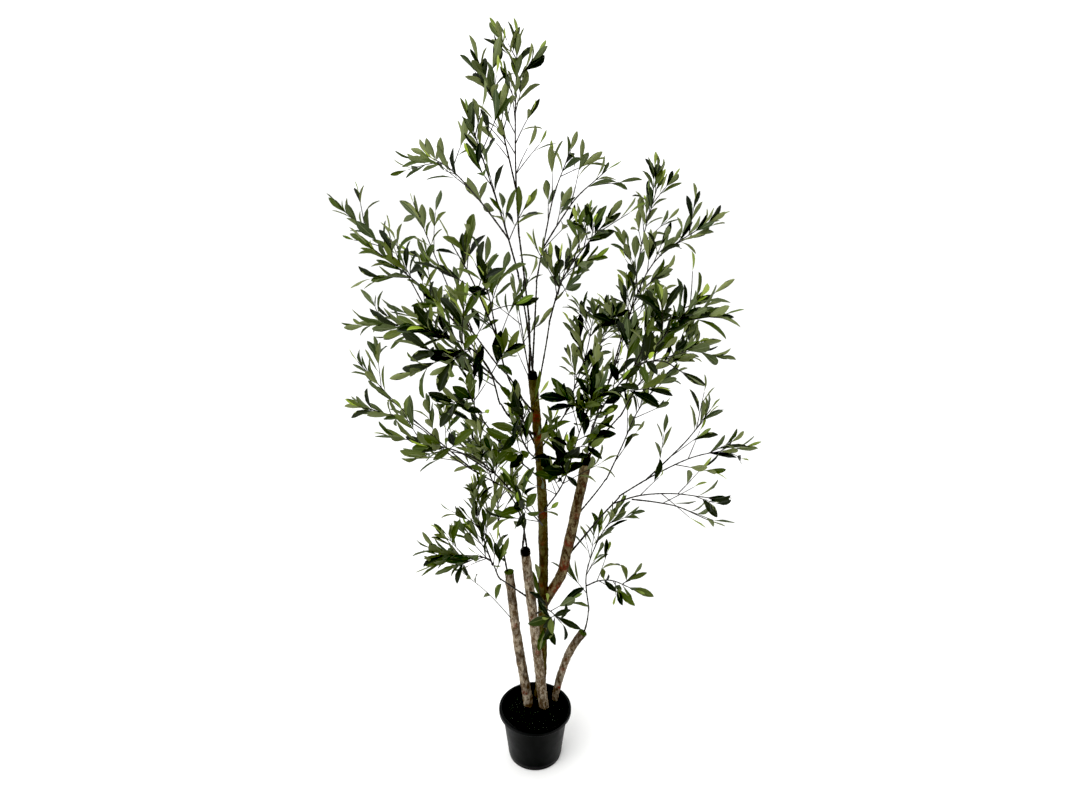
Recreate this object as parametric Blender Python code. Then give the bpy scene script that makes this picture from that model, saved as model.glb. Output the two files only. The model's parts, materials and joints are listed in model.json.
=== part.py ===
"""Artificial olive tree in a black nursery pot, 1.8 m tall.

Sawn natural sticks stand in a weighted pot. Wire boughs are plugged into their sides and into the dark caps
on their ends, and each bough carries sprays of leafy twigs. The origin is the centre of the pot's flat
underside, +Z is up, and everything is in metres.
"""

import math
import random
from collections import namedtuple

import bmesh
import bpy
import numpy as np
from mathutils import Matrix, Quaternion, Vector

# ---------------------------------------------------------------- driving dimensions
GAP = 0.0003  # clearance between two neighbouring pieces
UP = Vector((0, 0, 1))
SPAN_STEPS = 6  # stations that a curve gets between two of its way points
AIM = 0.01  # a limb's direction is read over this share of its length, either way
CREASE = math.radians(40)  # edges that fold more than this are drawn sharp

POT_HEIGHT = 0.150
POT_BASE_RADIUS = 0.0695
POT_SHOULDER_RADIUS = 0.0870  # the wall just under the rim
POT_RIM_RADIUS = 0.0950
POT_RIM_HEIGHT = 0.0120
POT_WALL = 0.0025
POT_CORNER = 0.0040  # rounding at the foot of the wall
POT_CORNER_STEPS = 3
FILL_BELOW_RIM = 0.0110
FILL_TOP = POT_HEIGHT - FILL_BELOW_RIM
FILL_EDGE = 0.0030  # bevel round the top of the fill
POT_STEPS = 32

STICK_SIDES = 10
STICK_STATIONS = 7
CAP_HEIGHT = 0.0170
CAP_OVERHANG = 0.0012
CAP_SHOULDER = 0.75  # share of the cap's height where its edge starts to turn in
CAP_ROUNDING = 0.0018  # how far the edge turns in
SEAT_RADIUS = 0.0050  # how far from a cap's middle the boughs are plugged in

BOUGH_SIDES = 5
BOUGH_STATIONS = 5
BOUGH_TAPER = 0.70  # tip radius as a share of foot radius
ROOT_STRETCH = 0.006  # how far, past its own radius, a limb runs straight out of its socket

STEM_SIDES = 5
STEM_STATIONS = 5
STEM_RADIUS = 0.0026
STEM_TIP_RADIUS = 0.0018
SIDE_STEM_SHARE = 0.25  # where along the stem a side stem leaves it
SIDE_STEM_BOW = 0.12  # how far it bows forward, as a share of its length
SIDE_STEM_SLIMNESS = 0.9  # its radius against the stem's

TWIG_SIDES = 3
TWIG_RADIUS = 0.0015
TWIG_TIP_RADIUS = 0.0012
TWIG_ANGLE = math.radians(46)
TWIG_ANGLES = (0.75, 1.25)  # least and most, as a share of that angle
TWIG_LENGTHS = (0.60, 0.80)  # least and most, as a share of the spray's reach
TWIG_FOOT_LENGTH = 1.05  # how long a twig grows at the stem's foot, as a share of that length
TWIG_TIP_LENGTH = 0.70  # and at the stem's tip
TWIG_LIFT = 0.25  # how strongly a twig turns upward
TWIG_STEP = 2  # flats of the stem from one twig to the next
LAST_TWIG = 0.96  # where along the stem the last twig may stand
FEWEST_TWIGS = 2

LEAF_LENGTH = 0.084
LEAF_WIDTH = 0.0250
LEAF_THICKNESS = 0.0030
LEAF_WIDEST = 0.46  # share of the length
LEAF_THICKEST = 0.20
LEAF_KEEL = 0.0016  # how far the edges rise above the midrib
LEAF_SIZES = (0.86, 1.08)  # least and most, as a share of that size
LEAF_ANGLE = math.radians(38)
LEAF_ANGLES = (0.85, 1.20)  # least and most, as a share of that angle
LEAF_ROLL = math.radians(20)  # how far a leaf may roll to either side
LEAVES_ON_TWIG = 2
LEAVES_ON_STEM = 1
FIRST_ON_TWIG = 0.45  # where the first leaf stands, as a share of the twig's length
FIRST_ON_STEM = 0.80
LAST_LEAF = 0.90
END_LEAF = 0.985  # where the leaf stands that ends a twig
END_LEAF_ANGLE = math.radians(3.5)
LEAF_HALF = 0.45  # half the width of the rod that stands for a leaf, as a share of the leaf's width
LEAF_FOOT = 0.2  # share of the leaf that is left to its narrow foot
LEAF_CROWDING = 0.6  # how close two leaves of a spray may come, as a share of that half width

FIRST_CORNER = math.radians(90)  # where the first corner of a limb's cross-section lies
SPACE_SLACK = 0.012  # a spray may lean this far past the halfway line to the next one
CLEAR = 0.0012  # least distance between two sprays, or a spray and a limb
FAR = 1.0  # the distance to nothing at all
WELD = 1e-6  # points closer than this are one
TINY = 1e-15  # keeps a division from failing on rods that lie alongside each other

Stick = namedtuple("Stick", "name foot_radius top_radius way")
Bough = namedtuple("Bough", "name parent share bearing radius way")
Spray = namedtuple("Spray", "name parent share way side bare twigs reach")

# Each stick from the fill to its sawn end. The fork has its foot on the trunk.
STICKS = (
    Stick("main_trunk", 0.0138, 0.0099, (
        (0.013, 0.050, FILL_TOP), (0.018, 0.046, 0.30), (0.021, 0.038, 0.52), (0.018, 0.032, 0.72),
        (0.008, 0.026, 0.89), (-0.006, 0.020, 1.060))),
    Stick("left_stick", 0.0128, 0.0106, (
        (-0.016, 0.015, FILL_TOP), (-0.034, 0.012, 0.27), (-0.051, 0.007, 0.41), (-0.063, 0.000, 0.550))),
    Stick("front_stick", 0.0128, 0.0110, (
        (0.024, 0.008, FILL_TOP), (0.011, 0.001, 0.27), (-0.004, -0.011, 0.43), (-0.023, -0.030, 0.634))),
    Stick("right_stick", 0.0092, 0.0104, (
        (0.053, 0.040, FILL_TOP), (0.066, 0.039, 0.213), (0.092, 0.035, 0.303), (0.123, 0.030, 0.362))),
)
FORK_SHARE = 0.355  # how far up the main trunk the fork leaves
RIGHT_FORK = Stick("right_fork", 0.0125, 0.0122, (
    (0.067, 0.036, 0.545), (0.082, 0.033, 0.62), (0.101, 0.029, 0.733), (0.120, 0.024, 0.846)))
CAPPED = ("main_trunk", "right_fork", "left_stick", "front_stick")

# Boughs: parent limb, share of its length, bearing in degrees of the seat on a cap, foot radius, way points.
BOUGHS = (
    Bough("bough_top", "main_trunk_cap", 1, 185, 0.0030, (
        (-0.014, 0.020, 1.195), (-0.028, 0.010, 1.325), (-0.034, 0.004, 1.380))),
    Bough("bough_top_left", "main_trunk_cap", 1, 285, 0.0028, (
        (-0.018, -0.020, 1.200), (-0.036, -0.045, 1.310))),
    Bough("bough_top_right", "main_trunk_cap", 1, 65, 0.0028, (
        (-0.001, 0.048, 1.190), (0.003, 0.062, 1.270))),
    Bough("bough_upper_right", "main_trunk", 0.93, None, 0.0026, (
        (0.018, -0.012, 1.110), (0.030, -0.022, 1.200))),
    Bough("bough_front_left", "main_trunk", 0.84, None, 0.0034, (
        (-0.052, -0.040, 0.985), (-0.075, -0.062, 1.030))),
    Bough("bough_front_centre", "main_trunk", 0.90, None, 0.0028, (
        (-0.045, -0.034, 1.050), (-0.065, -0.060, 1.110))),
    Bough("bough_left", "main_trunk", 0.80, None, 0.0032, (
        (-0.050, 0.030, 0.995), (-0.100, 0.038, 1.060))),
    Bough("bough_back_left", "main_trunk", 0.87, None, 0.0028, (
        (-0.050, 0.080, 1.025), (-0.085, 0.100, 1.060))),
    Bough("bough_mid_left", "front_stick_cap", 1, 215, 0.0032, (
        (-0.026, -0.046, 0.740), (-0.046, -0.056, 0.800))),
    Bough("bough_mid_left_up", "front_stick_cap", 1, 35, 0.0028, (
        (-0.036, 0.000, 0.725), (-0.066, 0.032, 0.768))),
    Bough("bough_left_stick", "left_stick_cap", 1, 180, 0.0026, (
        (-0.079, 0.010, 0.625), (-0.088, 0.018, 0.662))),
    Bough("bough_low_left", "front_stick", 0.72, None, 0.0028, (
        (-0.060, -0.052, 0.540), (-0.084, -0.056, 0.582))),
    Bough("bough_fork_front", "right_fork_cap", 1, 235, 0.0030, (
        (0.125, -0.004, 0.925), (0.127, -0.045, 0.970))),
    Bough("bough_fork_tall", "right_fork_cap", 1, 130, 0.0030, (
        (0.146, 0.044, 0.975), (0.176, 0.072, 1.045))),
    Bough("bough_fork_far", "right_fork_cap", 1, 330, 0.0030, (
        (0.155, -0.010, 0.970), (0.190, -0.036, 1.050))),
    Bough("bough_fork_out", "right_fork_cap", 1, 45, 0.0028, (
        (0.160, 0.042, 0.912), (0.198, 0.066, 0.948))),
    Bough("bough_mid_right", "right_fork", 0.33, None, 0.0032, (
        (0.148, 0.020, 0.690), (0.200, 0.010, 0.765))),
    Bough("bough_mid_right_up", "right_fork", 0.62, None, 0.0026, (
        (0.145, 0.052, 0.750), (0.172, 0.076, 0.778))),
    Bough("bough_right_stick", "right_stick", 1, None, 0.0026, (
        (0.134, 0.036, 0.395), (0.136, 0.036, 0.425))),
)

# Sprays: parent limb and share of its length, the stem's way points, the tip of a side stem (or None),
# the share of the stem that is bare, how many twigs, and how far the twigs reach.
SPRAYS = (
    Spray("spray_top", "bough_top", 1,
          ((-0.040, 0.002, 1.501), (-0.040, 0.006, 1.633), (-0.036, 0.010, 1.739)),
          (-0.104, 0.000, 1.699), 0.30, 12, 0.085),
    Spray("spray_top_left", "bough_top_left", 1,
          ((-0.059, -0.060, 1.402), (-0.090, -0.115, 1.515), (-0.115, -0.150, 1.602)),
          (-0.235, 0.140, 1.532), 0.12, 8, 0.115),
    Spray("spray_top_right", "bough_top_right", 1,
          ((0.027, 0.100, 1.392), (0.045, 0.150, 1.460), (0.072, 0.195, 1.522)),
          (0.142, 0.150, 1.487), 0.12, 7, 0.110),
    Spray("spray_upper_right", "bough_upper_right", 1,
          ((0.059, -0.030, 1.303), (0.102, -0.080, 1.377), (0.131, -0.108, 1.420)),
          (0.055, 0.030, 1.280), 0.08, 7, 0.110),
    Spray("spray_front_left", "bough_front_left", 1,
          ((-0.081, -0.080, 1.074), (-0.114, -0.190, 1.188), (-0.184, -0.320, 1.267)),
          (-0.204, -0.190, 1.192), 0.10, 8, 0.120),
    Spray("spray_front_centre", "bough_front_centre", 1,
          ((-0.077, -0.090, 1.157), (-0.083, -0.140, 1.245), (-0.090, -0.290, 1.352)),
          (-0.150, -0.200, 1.392), 0.12, 8, 0.115),
    Spray("spray_left_far", "bough_left", 1,
          ((-0.198, 0.050, 1.130), (-0.261, 0.060, 1.265), (-0.410, 0.090, 1.415)),
          (-0.385, 0.085, 1.165), 0.12, 8, 0.110),
    Spray("spray_upper_left_out", "bough_left", 0.90,
          ((-0.137, 0.000, 1.144), (-0.220, -0.060, 1.274), (-0.312, -0.120, 1.373)),
          None, 0.20, 6, 0.110),
    Spray("spray_upper_left", "bough_back_left", 1,
          ((-0.128, 0.125, 1.109), (-0.190, 0.160, 1.203), (-0.284, 0.270, 1.397)),
          (-0.194, 0.290, 1.207), 0.10, 8, 0.120),
    Spray("spray_left_inner", "main_trunk", 0.72,
          ((-0.041, -0.040, 0.879), (-0.091, -0.090, 0.974), (-0.127, -0.190, 1.079),
           (-0.127, -0.270, 1.138)),
          None, 0.12, 7, 0.115),
    Spray("spray_mid_left", "bough_mid_left", 1,
          ((-0.132, -0.056, 0.897), (-0.214, -0.080, 0.939), (-0.296, -0.100, 0.966)),
          (-0.191, -0.180, 0.981), 0.10, 7, 0.105),
    Spray("spray_mid_left_up", "bough_mid_left_up", 1,
          ((-0.133, 0.075, 0.791), (-0.207, 0.100, 0.831), (-0.318, 0.160, 0.902), (-0.425, 0.200, 0.917)),
          (-0.405, 0.120, 1.047), 0.10, 9, 0.110),
    Spray("spray_left_stick", "bough_left_stick", 1,
          ((-0.092, 0.045, 0.743), (-0.138, 0.160, 0.831)),
          None, 0.05, 5, 0.105),
    Spray("spray_low_left", "bough_low_left", 1,
          ((-0.101, -0.060, 0.632), (-0.146, -0.080, 0.659), (-0.197, -0.105, 0.676)),
          (-0.147, 0.030, 0.731), 0.05, 8, 0.095),
    Spray("spray_front_right", "bough_fork_front", 1,
          ((0.138, -0.090, 1.030), (0.166, -0.165, 1.109), (0.229, -0.255, 1.228), (0.277, -0.305, 1.313)),
          None, 0.06, 8, 0.115),
    Spray("spray_tall_right", "bough_fork_tall", 1,
          ((0.203, 0.110, 1.118), (0.234, 0.170, 1.217), (0.262, 0.260, 1.360), (0.298, 0.320, 1.453)),
          None, 0.10, 7, 0.110),
    Spray("spray_high_right", "bough_fork_tall", 0.88,
          ((0.197, 0.046, 1.156), (0.237, 0.045, 1.286), (0.318, 0.070, 1.377), (0.375, 0.080, 1.397)),
          None, 0.10, 7, 0.100),
    Spray("spray_far_right", "bough_fork_far", 1,
          ((0.219, -0.066, 1.139), (0.255, -0.100, 1.221), (0.332, -0.140, 1.283)),
          (0.282, -0.200, 1.153), 0.10, 7, 0.105),
    Spray("spray_out_right", "bough_fork_out", 1,
          ((0.239, 0.110, 0.997), (0.286, 0.148, 1.045), (0.402, 0.225, 1.072)),
          None, 0.12, 6, 0.110),
    Spray("spray_back_right", "main_trunk", 0.80,
          ((0.047, 0.085, 0.937), (0.110, 0.130, 0.983), (0.151, 0.220, 1.055), (0.188, 0.310, 1.126)),
          (0.138, 0.170, 1.156), 0.15, 7, 0.115),
    Spray("spray_mid_right", "bough_mid_right", 1,
          ((0.252, 0.000, 0.812), (0.311, -0.004, 0.848), (0.410, 0.010, 0.887), (0.464, 0.010, 0.890)),
          (0.399, 0.060, 0.950), 0.30, 8, 0.105),
    Spray("spray_mid_right_low", "bough_mid_right", 0.90,
          ((0.245, -0.030, 0.791), (0.296, -0.045, 0.804), (0.379, -0.090, 0.817)),
          (0.379, -0.050, 0.747), 0.30, 6, 0.090),
    Spray("spray_mid_right_up", "bough_mid_right_up", 1,
          ((0.199, 0.104, 0.818), (0.255, 0.170, 0.920), (0.302, 0.215, 0.968)),
          None, 0.10, 6, 0.110),
    Spray("spray_centre", "main_trunk", 0.77,
          ((-0.015, -0.050, 0.909), (-0.033, -0.115, 0.983), (-0.022, -0.190, 1.056)),
          None, 0.10, 6, 0.110),
    Spray("spray_centre_low", "main_trunk", 0.58,
          ((0.012, -0.040, 0.723), (-0.017, -0.110, 0.797), (-0.030, -0.170, 0.840)),
          None, 0.10, 5, 0.100),
    Spray("spray_centre_right", "main_trunk", 0.62,
          ((0.046, -0.030, 0.770), (0.065, -0.065, 0.849), (0.088, -0.120, 0.969), (0.113, -0.190, 1.098)),
          None, 0.15, 6, 0.110),
    Spray("spray_centre_back", "main_trunk", 0.93,
          ((-0.019, 0.070, 1.083), (-0.032, 0.140, 1.145), (-0.046, 0.225, 1.203)),
          None, 0.10, 5, 0.115),
    Spray("spray_right_stick", "bough_right_stick", 1,
          ((0.125, 0.048, 0.486), (0.148, 0.085, 0.572), (0.200, 0.110, 0.663)),
          (0.223, -0.040, 0.548), 0.08, 7, 0.085),
    Spray("spray_trunk_low", "front_stick", 0.62,
          ((0.028, -0.050, 0.492), (0.053, -0.115, 0.510)),
          None, 0.10, 4, 0.085),
)

MATERIALS = {  # hex colour, roughness, metallic
    "black_plastic": ("#101211", 0.38, 0.0),
    "dark_fill": ("#16170F", 0.95, 0.0),
    "dry_bark": ("#7A6248", 0.85, 0.0),
    "red_bark": ("#5C3A26", 0.85, 0.0),
    "cap_putty": ("#14120F", 0.70, 0.0),
    "coated_wire": ("#2B241C", 0.55, 0.0),
    "olive_leaf": ("#4C5A31", 0.55, 0.0),
}


# ---------------------------------------------------------------- scene helpers
def clear_scene():
    for obj in list(bpy.data.objects):
        bpy.data.objects.remove(obj, do_unlink=True)


def linear(channel):
    """One sRGB channel, 0 to 1, as a linear value."""
    return channel / 12.92 if channel <= 0.04045 else ((channel + 0.055) / 1.055) ** 2.4


def material(name):
    made = bpy.data.materials.get(name)
    if made:
        return made
    colour, roughness, metallic = MATERIALS[name]
    made = bpy.data.materials.new(name)
    made.use_nodes = True
    shader = made.node_tree.nodes["Principled BSDF"]
    rgb = [linear(int(colour[at : at + 2], 16) / 255) for at in (1, 3, 5)]
    shader.inputs["Base Color"].default_value = (*rgb, 1)
    shader.inputs["Roughness"].default_value = roughness
    shader.inputs["Metallic"].default_value = metallic
    return made


def add_object(name, bm, material_name, collection=None):
    """A new object from a bmesh, with its faces pointing outward."""
    bmesh.ops.recalc_face_normals(bm, faces=bm.faces)
    mesh = bpy.data.meshes.new(name)
    bm.to_mesh(mesh)
    bm.free()
    mesh.materials.append(material(material_name))
    obj = bpy.data.objects.new(name, mesh)
    (collection or bpy.context.scene.collection).objects.link(obj)
    return obj


def shade(obj):
    obj.data.shade_smooth()
    obj.data.set_sharp_from_angle(angle=CREASE)


# ---------------------------------------------------------------- curves and tubes
def smooth(points):
    """Catmull-Rom curve through the points."""
    points = [Vector(point) for point in points]
    ends = [points[0] * 2 - points[1], *points, points[-1] * 2 - points[-2]]
    curve = []
    for a, b, c, d in zip(ends, ends[1:], ends[2:], ends[3:]):
        for step in range(SPAN_STEPS):
            t = step / SPAN_STEPS
            bend = a * 2 - b * 5 + c * 4 - d
            twist = b * 3 - a - c * 3 + d
            curve.append((b * 2 + (c - a) * t + bend * t**2 + twist * t**3) / 2)
    return curve + [points[-1]]


def spread(curve, count):
    """The curve again, as count stations equally far apart."""
    lengths = [0.0]
    for a, b in zip(curve, curve[1:]):
        lengths.append(lengths[-1] + (b - a).length)
    return [point_at(curve, lengths, index / (count - 1)) for index in range(count)]


def point_at(curve, lengths, share):
    goal = share * lengths[-1]
    span = min(max(int(np.searchsorted(lengths, goal)) - 1, 0), len(curve) - 2)
    part = (goal - lengths[span]) / (lengths[span + 1] - lengths[span])
    return curve[span].lerp(curve[span + 1], part)


def tangent(curve, index):
    return (curve[min(index + 1, len(curve) - 1)] - curve[max(index - 1, 0)]).normalized()


def square_to(vector, along):
    """The part of a vector at right angles to along, as a unit vector."""
    return (vector - along * vector.dot(along)).normalized()


class Limb:
    """A curve with a radius and a sideways direction at each station, for sticks, boughs and twigs."""

    def __init__(self, curve, foot_radius, tip_radius, foot_axis=None):
        last = len(curve) - 1
        self.curve = curve
        self.foot_axis = foot_axis or tangent(curve, 0)  # what the flat foot is square to
        self.radii = [foot_radius + (tip_radius - foot_radius) * index / last for index in range(last + 1)]
        self.across = [tangent(curve, 0).orthogonal().normalized()]
        self.lengths = [0.0]
        for index in range(1, last + 1):
            self.across.append(square_to(self.across[-1], tangent(curve, index)))
            self.lengths.append(self.lengths[-1] + (curve[index] - curve[index - 1]).length)

    def at(self, share):
        """Point, direction, sideways direction and radius at a share of the length."""
        point = point_at(self.curve, self.lengths, share)
        before = point_at(self.curve, self.lengths, max(share - AIM, 0))
        after = point_at(self.curve, self.lengths, min(share + AIM, 1))
        along = (after - before).normalized()
        nearest = round(share * (len(self.curve) - 1))
        radius = self.radii[0] + (self.radii[-1] - self.radii[0]) * share
        return point, along, square_to(self.across[nearest], along), radius

    def socket(self, share, bearing, toward):
        """Where a smaller limb is plugged in, GAP clear of this one, and the way it comes out."""
        point, along, _, radius = self.at(share)
        if bearing is not None:
            turn = math.radians(bearing)
            seat = Vector((math.cos(turn), math.sin(turn), 0))
            return point + square_to(seat, along) * SEAT_RADIUS + along * GAP, along
        if share == 1:
            return point + along * GAP, along
        outward = square_to(toward - point, along)
        return point + outward * (radius + GAP), outward


def ring_frame(limb, index):
    """Where a limb's ring lies, scaled to its radius, with Z along the limb."""
    along = tangent(limb.curve, index) if index else limb.foot_axis
    across = square_to(limb.across[index], along)
    turn = Matrix((across, along.cross(across), along)).transposed()
    radius = limb.radii[index]
    return Matrix.LocRotScale(limb.curve[index], turn, Vector((radius, radius, 1)))


def tube(limb, sides):
    """A closed tapering limb: a capped circle, extruded from station to station."""
    bm = bmesh.new()
    places = [ring_frame(limb, index) for index in range(len(limb.curve))]
    bmesh.ops.create_circle(bm, cap_ends=True, segments=sides, radius=1, matrix=places[0])
    bm.faces.ensure_lookup_table()
    end = bm.faces[0]
    foot = list(bm.edges)
    for before, after in zip(places, places[1:]):
        end = bmesh.ops.extrude_discrete_faces(bm, faces=[end])["faces"][0]
        bmesh.ops.transform(bm, matrix=after @ before.inverted(), verts=end.verts)
    bmesh.ops.contextual_create(bm, geom=foot)
    return bm


def turned(profile, steps):
    """A closed turned shape from (radius, height) points that start and end on the axis."""
    bm = bmesh.new()
    verts = [bm.verts.new((radius, 0, height)) for radius, height in profile]
    edges = [bm.edges.new(pair) for pair in zip(verts, verts[1:])]
    bmesh.ops.spin(bm, geom=verts + edges, axis=(0, 0, 1), cent=(0, 0, 0), angle=math.tau, steps=steps)
    bmesh.ops.remove_doubles(bm, verts=bm.verts, dist=WELD)
    return bm


# ---------------------------------------------------------------- limbs
def grown_from(parent, share, bearing, way, stations, foot_radius, tip_radius):
    """A limb that comes straight out of its socket on the parent and then follows the way points."""
    foot, out = parent.socket(share, bearing, Vector(way[0]))
    curve = [foot] + spread(smooth([foot + out * (foot_radius + ROOT_STRETCH), *way]), stations - 1)
    return Limb(curve, foot_radius, tip_radius, out)


def make_sticks(limbs):
    for stick in STICKS:
        foot = Vector(stick.way[0]) + UP * GAP
        curve = spread(smooth([foot, *stick.way[1:]]), STICK_STATIONS)
        limbs[stick.name] = Limb(curve, stick.foot_radius, stick.top_radius, UP)
        add_stick(stick.name, limbs[stick.name], "red_bark" if stick.name == "main_trunk" else "dry_bark")
    fork, trunk = RIGHT_FORK, limbs["main_trunk"]
    limbs[fork.name] = grown_from(
        trunk, FORK_SHARE, None, fork.way, STICK_STATIONS + 1, fork.foot_radius, fork.top_radius
    )
    add_stick(fork.name, limbs[fork.name], "red_bark")


def add_stick(name, limb, bark):
    shade(add_object(name, tube(limb, STICK_SIDES), bark))


def make_caps(limbs):
    """Dark plugs on the sawn ends, which the boughs are pushed into."""
    for name in CAPPED:
        end, along, _, radius = limbs[name].at(1)
        foot = end + along * GAP
        wide = radius + CAP_OVERHANG
        cap = Limb([foot, foot + along * CAP_HEIGHT * CAP_SHOULDER, foot + along * CAP_HEIGHT], wide, wide)
        cap.radii[-1] = wide - CAP_ROUNDING
        shade(add_object(name + "_cap", tube(cap, STICK_SIDES), "cap_putty"))
        limbs[name + "_cap"] = cap


def make_boughs(limbs):
    for bough in BOUGHS:
        limbs[bough.name] = grown_from(
            limbs[bough.parent], bough.share, bough.bearing, bough.way, BOUGH_STATIONS, bough.radius,
            bough.radius * BOUGH_TAPER,
        )
        shade(add_object(bough.name, tube(limbs[bough.name], BOUGH_SIDES), "coated_wire"))


# ---------------------------------------------------------------- pot and fill
def arc(centre, radius, start, end, steps):
    """Points on an arc, from one angle in degrees to another."""
    turns = [math.radians(start + (end - start) * step / steps) for step in range(steps + 1)]
    return [(centre[0] + radius * math.cos(turn), centre[1] + radius * math.sin(turn)) for turn in turns]


def wall_radius(height):
    """Outer radius of the pot's wall below its rim."""
    return POT_BASE_RADIUS + (POT_SHOULDER_RADIUS - POT_BASE_RADIUS) * height / POT_HEIGHT


def make_pot():
    lip = POT_WALL / 2
    under_rim = POT_HEIGHT - POT_RIM_HEIGHT
    inner_top = POT_HEIGHT - POT_WALL
    profile = [(0, 0)]
    profile += arc((POT_BASE_RADIUS - POT_CORNER, POT_CORNER), POT_CORNER, -90, 0, POT_CORNER_STEPS)
    profile += [(wall_radius(under_rim), under_rim), (POT_RIM_RADIUS - lip, under_rim)]
    profile += [(POT_RIM_RADIUS, under_rim + lip), (POT_RIM_RADIUS, POT_HEIGHT - lip)]
    profile += [(POT_RIM_RADIUS - lip, POT_HEIGHT), (wall_radius(POT_HEIGHT), POT_HEIGHT)]
    profile += [(wall_radius(inner_top) - POT_WALL, inner_top), (wall_radius(POT_WALL) - POT_WALL, POT_WALL)]
    profile += [(0, POT_WALL)]
    shade(add_object("pot", turned(profile, POT_STEPS), "black_plastic"))


def make_fill():
    """Weighted fill, 0.3 mm clear of the pot, with a dark moss and gravel top."""
    foot = POT_WALL + GAP
    clear = POT_WALL + 2 * GAP
    top_radius = wall_radius(FILL_TOP) - clear
    profile = [(0, foot), (wall_radius(foot) - clear, foot), (top_radius, FILL_TOP - FILL_EDGE)]
    profile += [(top_radius - FILL_EDGE, FILL_TOP), (0, FILL_TOP)]
    shade(add_object("fill", turned(profile, POT_STEPS), "dark_fill"))


# ---------------------------------------------------------------- room for the sprays
class Space:
    """Every limb, stem, twig and leaf as a round-ended rod, to keep the sprays apart."""

    def __init__(self):
        self.a, self.b, self.r, self.owner = [], [], [], []

    def add(self, curve, radii, owner):
        for a, b, radius in zip(curve, curve[1:], radii):
            self.a.append(a)
            self.b.append(b)
            self.r.append(radius)
            self.owner.append(owner)

    def nearest(self, a, b, keep):
        """Distance from rod a-b to each kept rod's surface; keep is a test on the owner."""
        chosen = [index for index, owner in enumerate(self.owner) if keep(owner)]
        if not chosen:
            return FAR
        gaps = rod_gaps(np.array(a), np.array(b), np.array(self.a)[chosen], np.array(self.b)[chosen])
        return float((gaps - np.array(self.r)[chosen]).min())


def rod_gaps(a, b, c, d):
    """Shortest distances between the segment a-b and many segments c-d."""
    u, v, w = b - a, d - c, a - c
    uu, uv, vv = u @ u, v @ u, (v * v).sum(1)
    uw, vw = w @ u, (v * w).sum(1)
    crossing = np.maximum(uu * vv - uv * uv, TINY)
    s = np.clip((uv * vw - vv * uw) / crossing, 0, 1)
    t = np.clip((uv * s + vw) / np.maximum(vv, TINY), 0, 1)
    s = np.clip((uv * t - uw) / max(uu, TINY), 0, 1)
    return np.linalg.norm(w + s[:, None] * u - t[:, None] * v, axis=1)


# ---------------------------------------------------------------- sprays
def stems_of(spray, limbs):
    """The spray's stem, and its side stem if it has one."""
    parent = limbs[spray.parent]
    stems = [grown_from(parent, spray.share, None, spray.way, STEM_STATIONS, STEM_RADIUS, STEM_TIP_RADIUS)]
    if spray.side:
        start, along, _, _ = stems[0].at(SIDE_STEM_SHARE)
        tip = Vector(spray.side)
        middle = (start + tip) / 2 + along * (tip - start).length * SIDE_STEM_BOW
        curve = spread(smooth([start, middle, tip]), STEM_STATIONS - 1)
        stems.append(Limb(curve, STEM_RADIUS * SIDE_STEM_SLIMNESS, STEM_TIP_RADIUS))
    return stems


def flat_azimuth(index, sides):
    """Where the middle of a limb's flat faces, round its axis."""
    return FIRST_CORNER + (index + 0.5) * math.tau / sides


def turned_away(along, across, angle, azimuth):
    """A direction at an angle to along, on the side that azimuth gives."""
    side = across.copy()
    side.rotate(Quaternion(along, azimuth))
    return (along * math.cos(angle) + side * math.sin(angle)).normalized()


def twig_curve(start, direction, length):
    """A straight twig, tilted a little upward."""
    bent = (direction + UP * TWIG_LIFT).normalized()
    return [start, start + bent * length]


def twigs_of(spray, stems, space, rng):
    """Twigs that step round the stems from flat to flat. One that meets a limb is turned or left out."""
    twigs = []
    total = sum(stem.lengths[-1] for stem in stems)
    for stem in stems:
        count = max(FEWEST_TWIGS, round(spray.twigs * stem.lengths[-1] / total))
        turn = rng.randrange(STEM_SIDES)
        for index in range(count):
            share = spray.bare + (LAST_TWIG - spray.bare) * (index + 0.5) / count
            start, along, across, _ = stem.at(share)
            tapering = TWIG_FOOT_LENGTH + (TWIG_TIP_LENGTH - TWIG_FOOT_LENGTH) * share
            length = spray.reach * rng.uniform(*TWIG_LENGTHS) * tapering
            angle = TWIG_ANGLE * rng.uniform(*TWIG_ANGLES)
            for attempt in range(STEM_SIDES):
                azimuth = flat_azimuth(turn + index * TWIG_STEP + attempt, STEM_SIDES)
                direction = turned_away(along, across, angle, azimuth)
                curve = twig_curve(start, direction, length)
                if has_room(curve, TWIG_RADIUS, spray.name, space):
                    twigs.append(Limb(curve, TWIG_RADIUS, TWIG_TIP_RADIUS))
                    space.add(curve, [TWIG_RADIUS], spray.name)
                    break
    return twigs


def has_room(curve, radius, owner, space):
    """Whether a rod clears every limb and every other spray, and ends nearer its own stem than another's."""
    for a, b in zip(curve, curve[1:]):
        if space.nearest(a, b, lambda other: other.removesuffix(" stem") != owner) < radius + CLEAR:
            return False
    end = curve[-1]
    own = space.nearest(end, end, lambda other: other == owner + " stem")
    others = space.nearest(end, end, lambda other: other.endswith(" stem") and other != owner + " stem")
    return own < others + SPACE_SLACK


Leaf = namedtuple("Leaf", "root direction normal length width")


def leaf_on(limb, share, azimuth, angle, size, roll):
    """A leaf whose upper face looks along the twig, or one that ends the twig where the angle is small."""
    root, along, across, _ = limb.at(share)
    direction = turned_away(along, across, angle, azimuth)
    facing = along if angle > LEAF_ANGLE / 2 else UP
    normal = square_to(facing, direction)
    normal.rotate(Quaternion(direction, roll))
    return Leaf(root, direction, normal, LEAF_LENGTH * size, LEAF_WIDTH * size)


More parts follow.
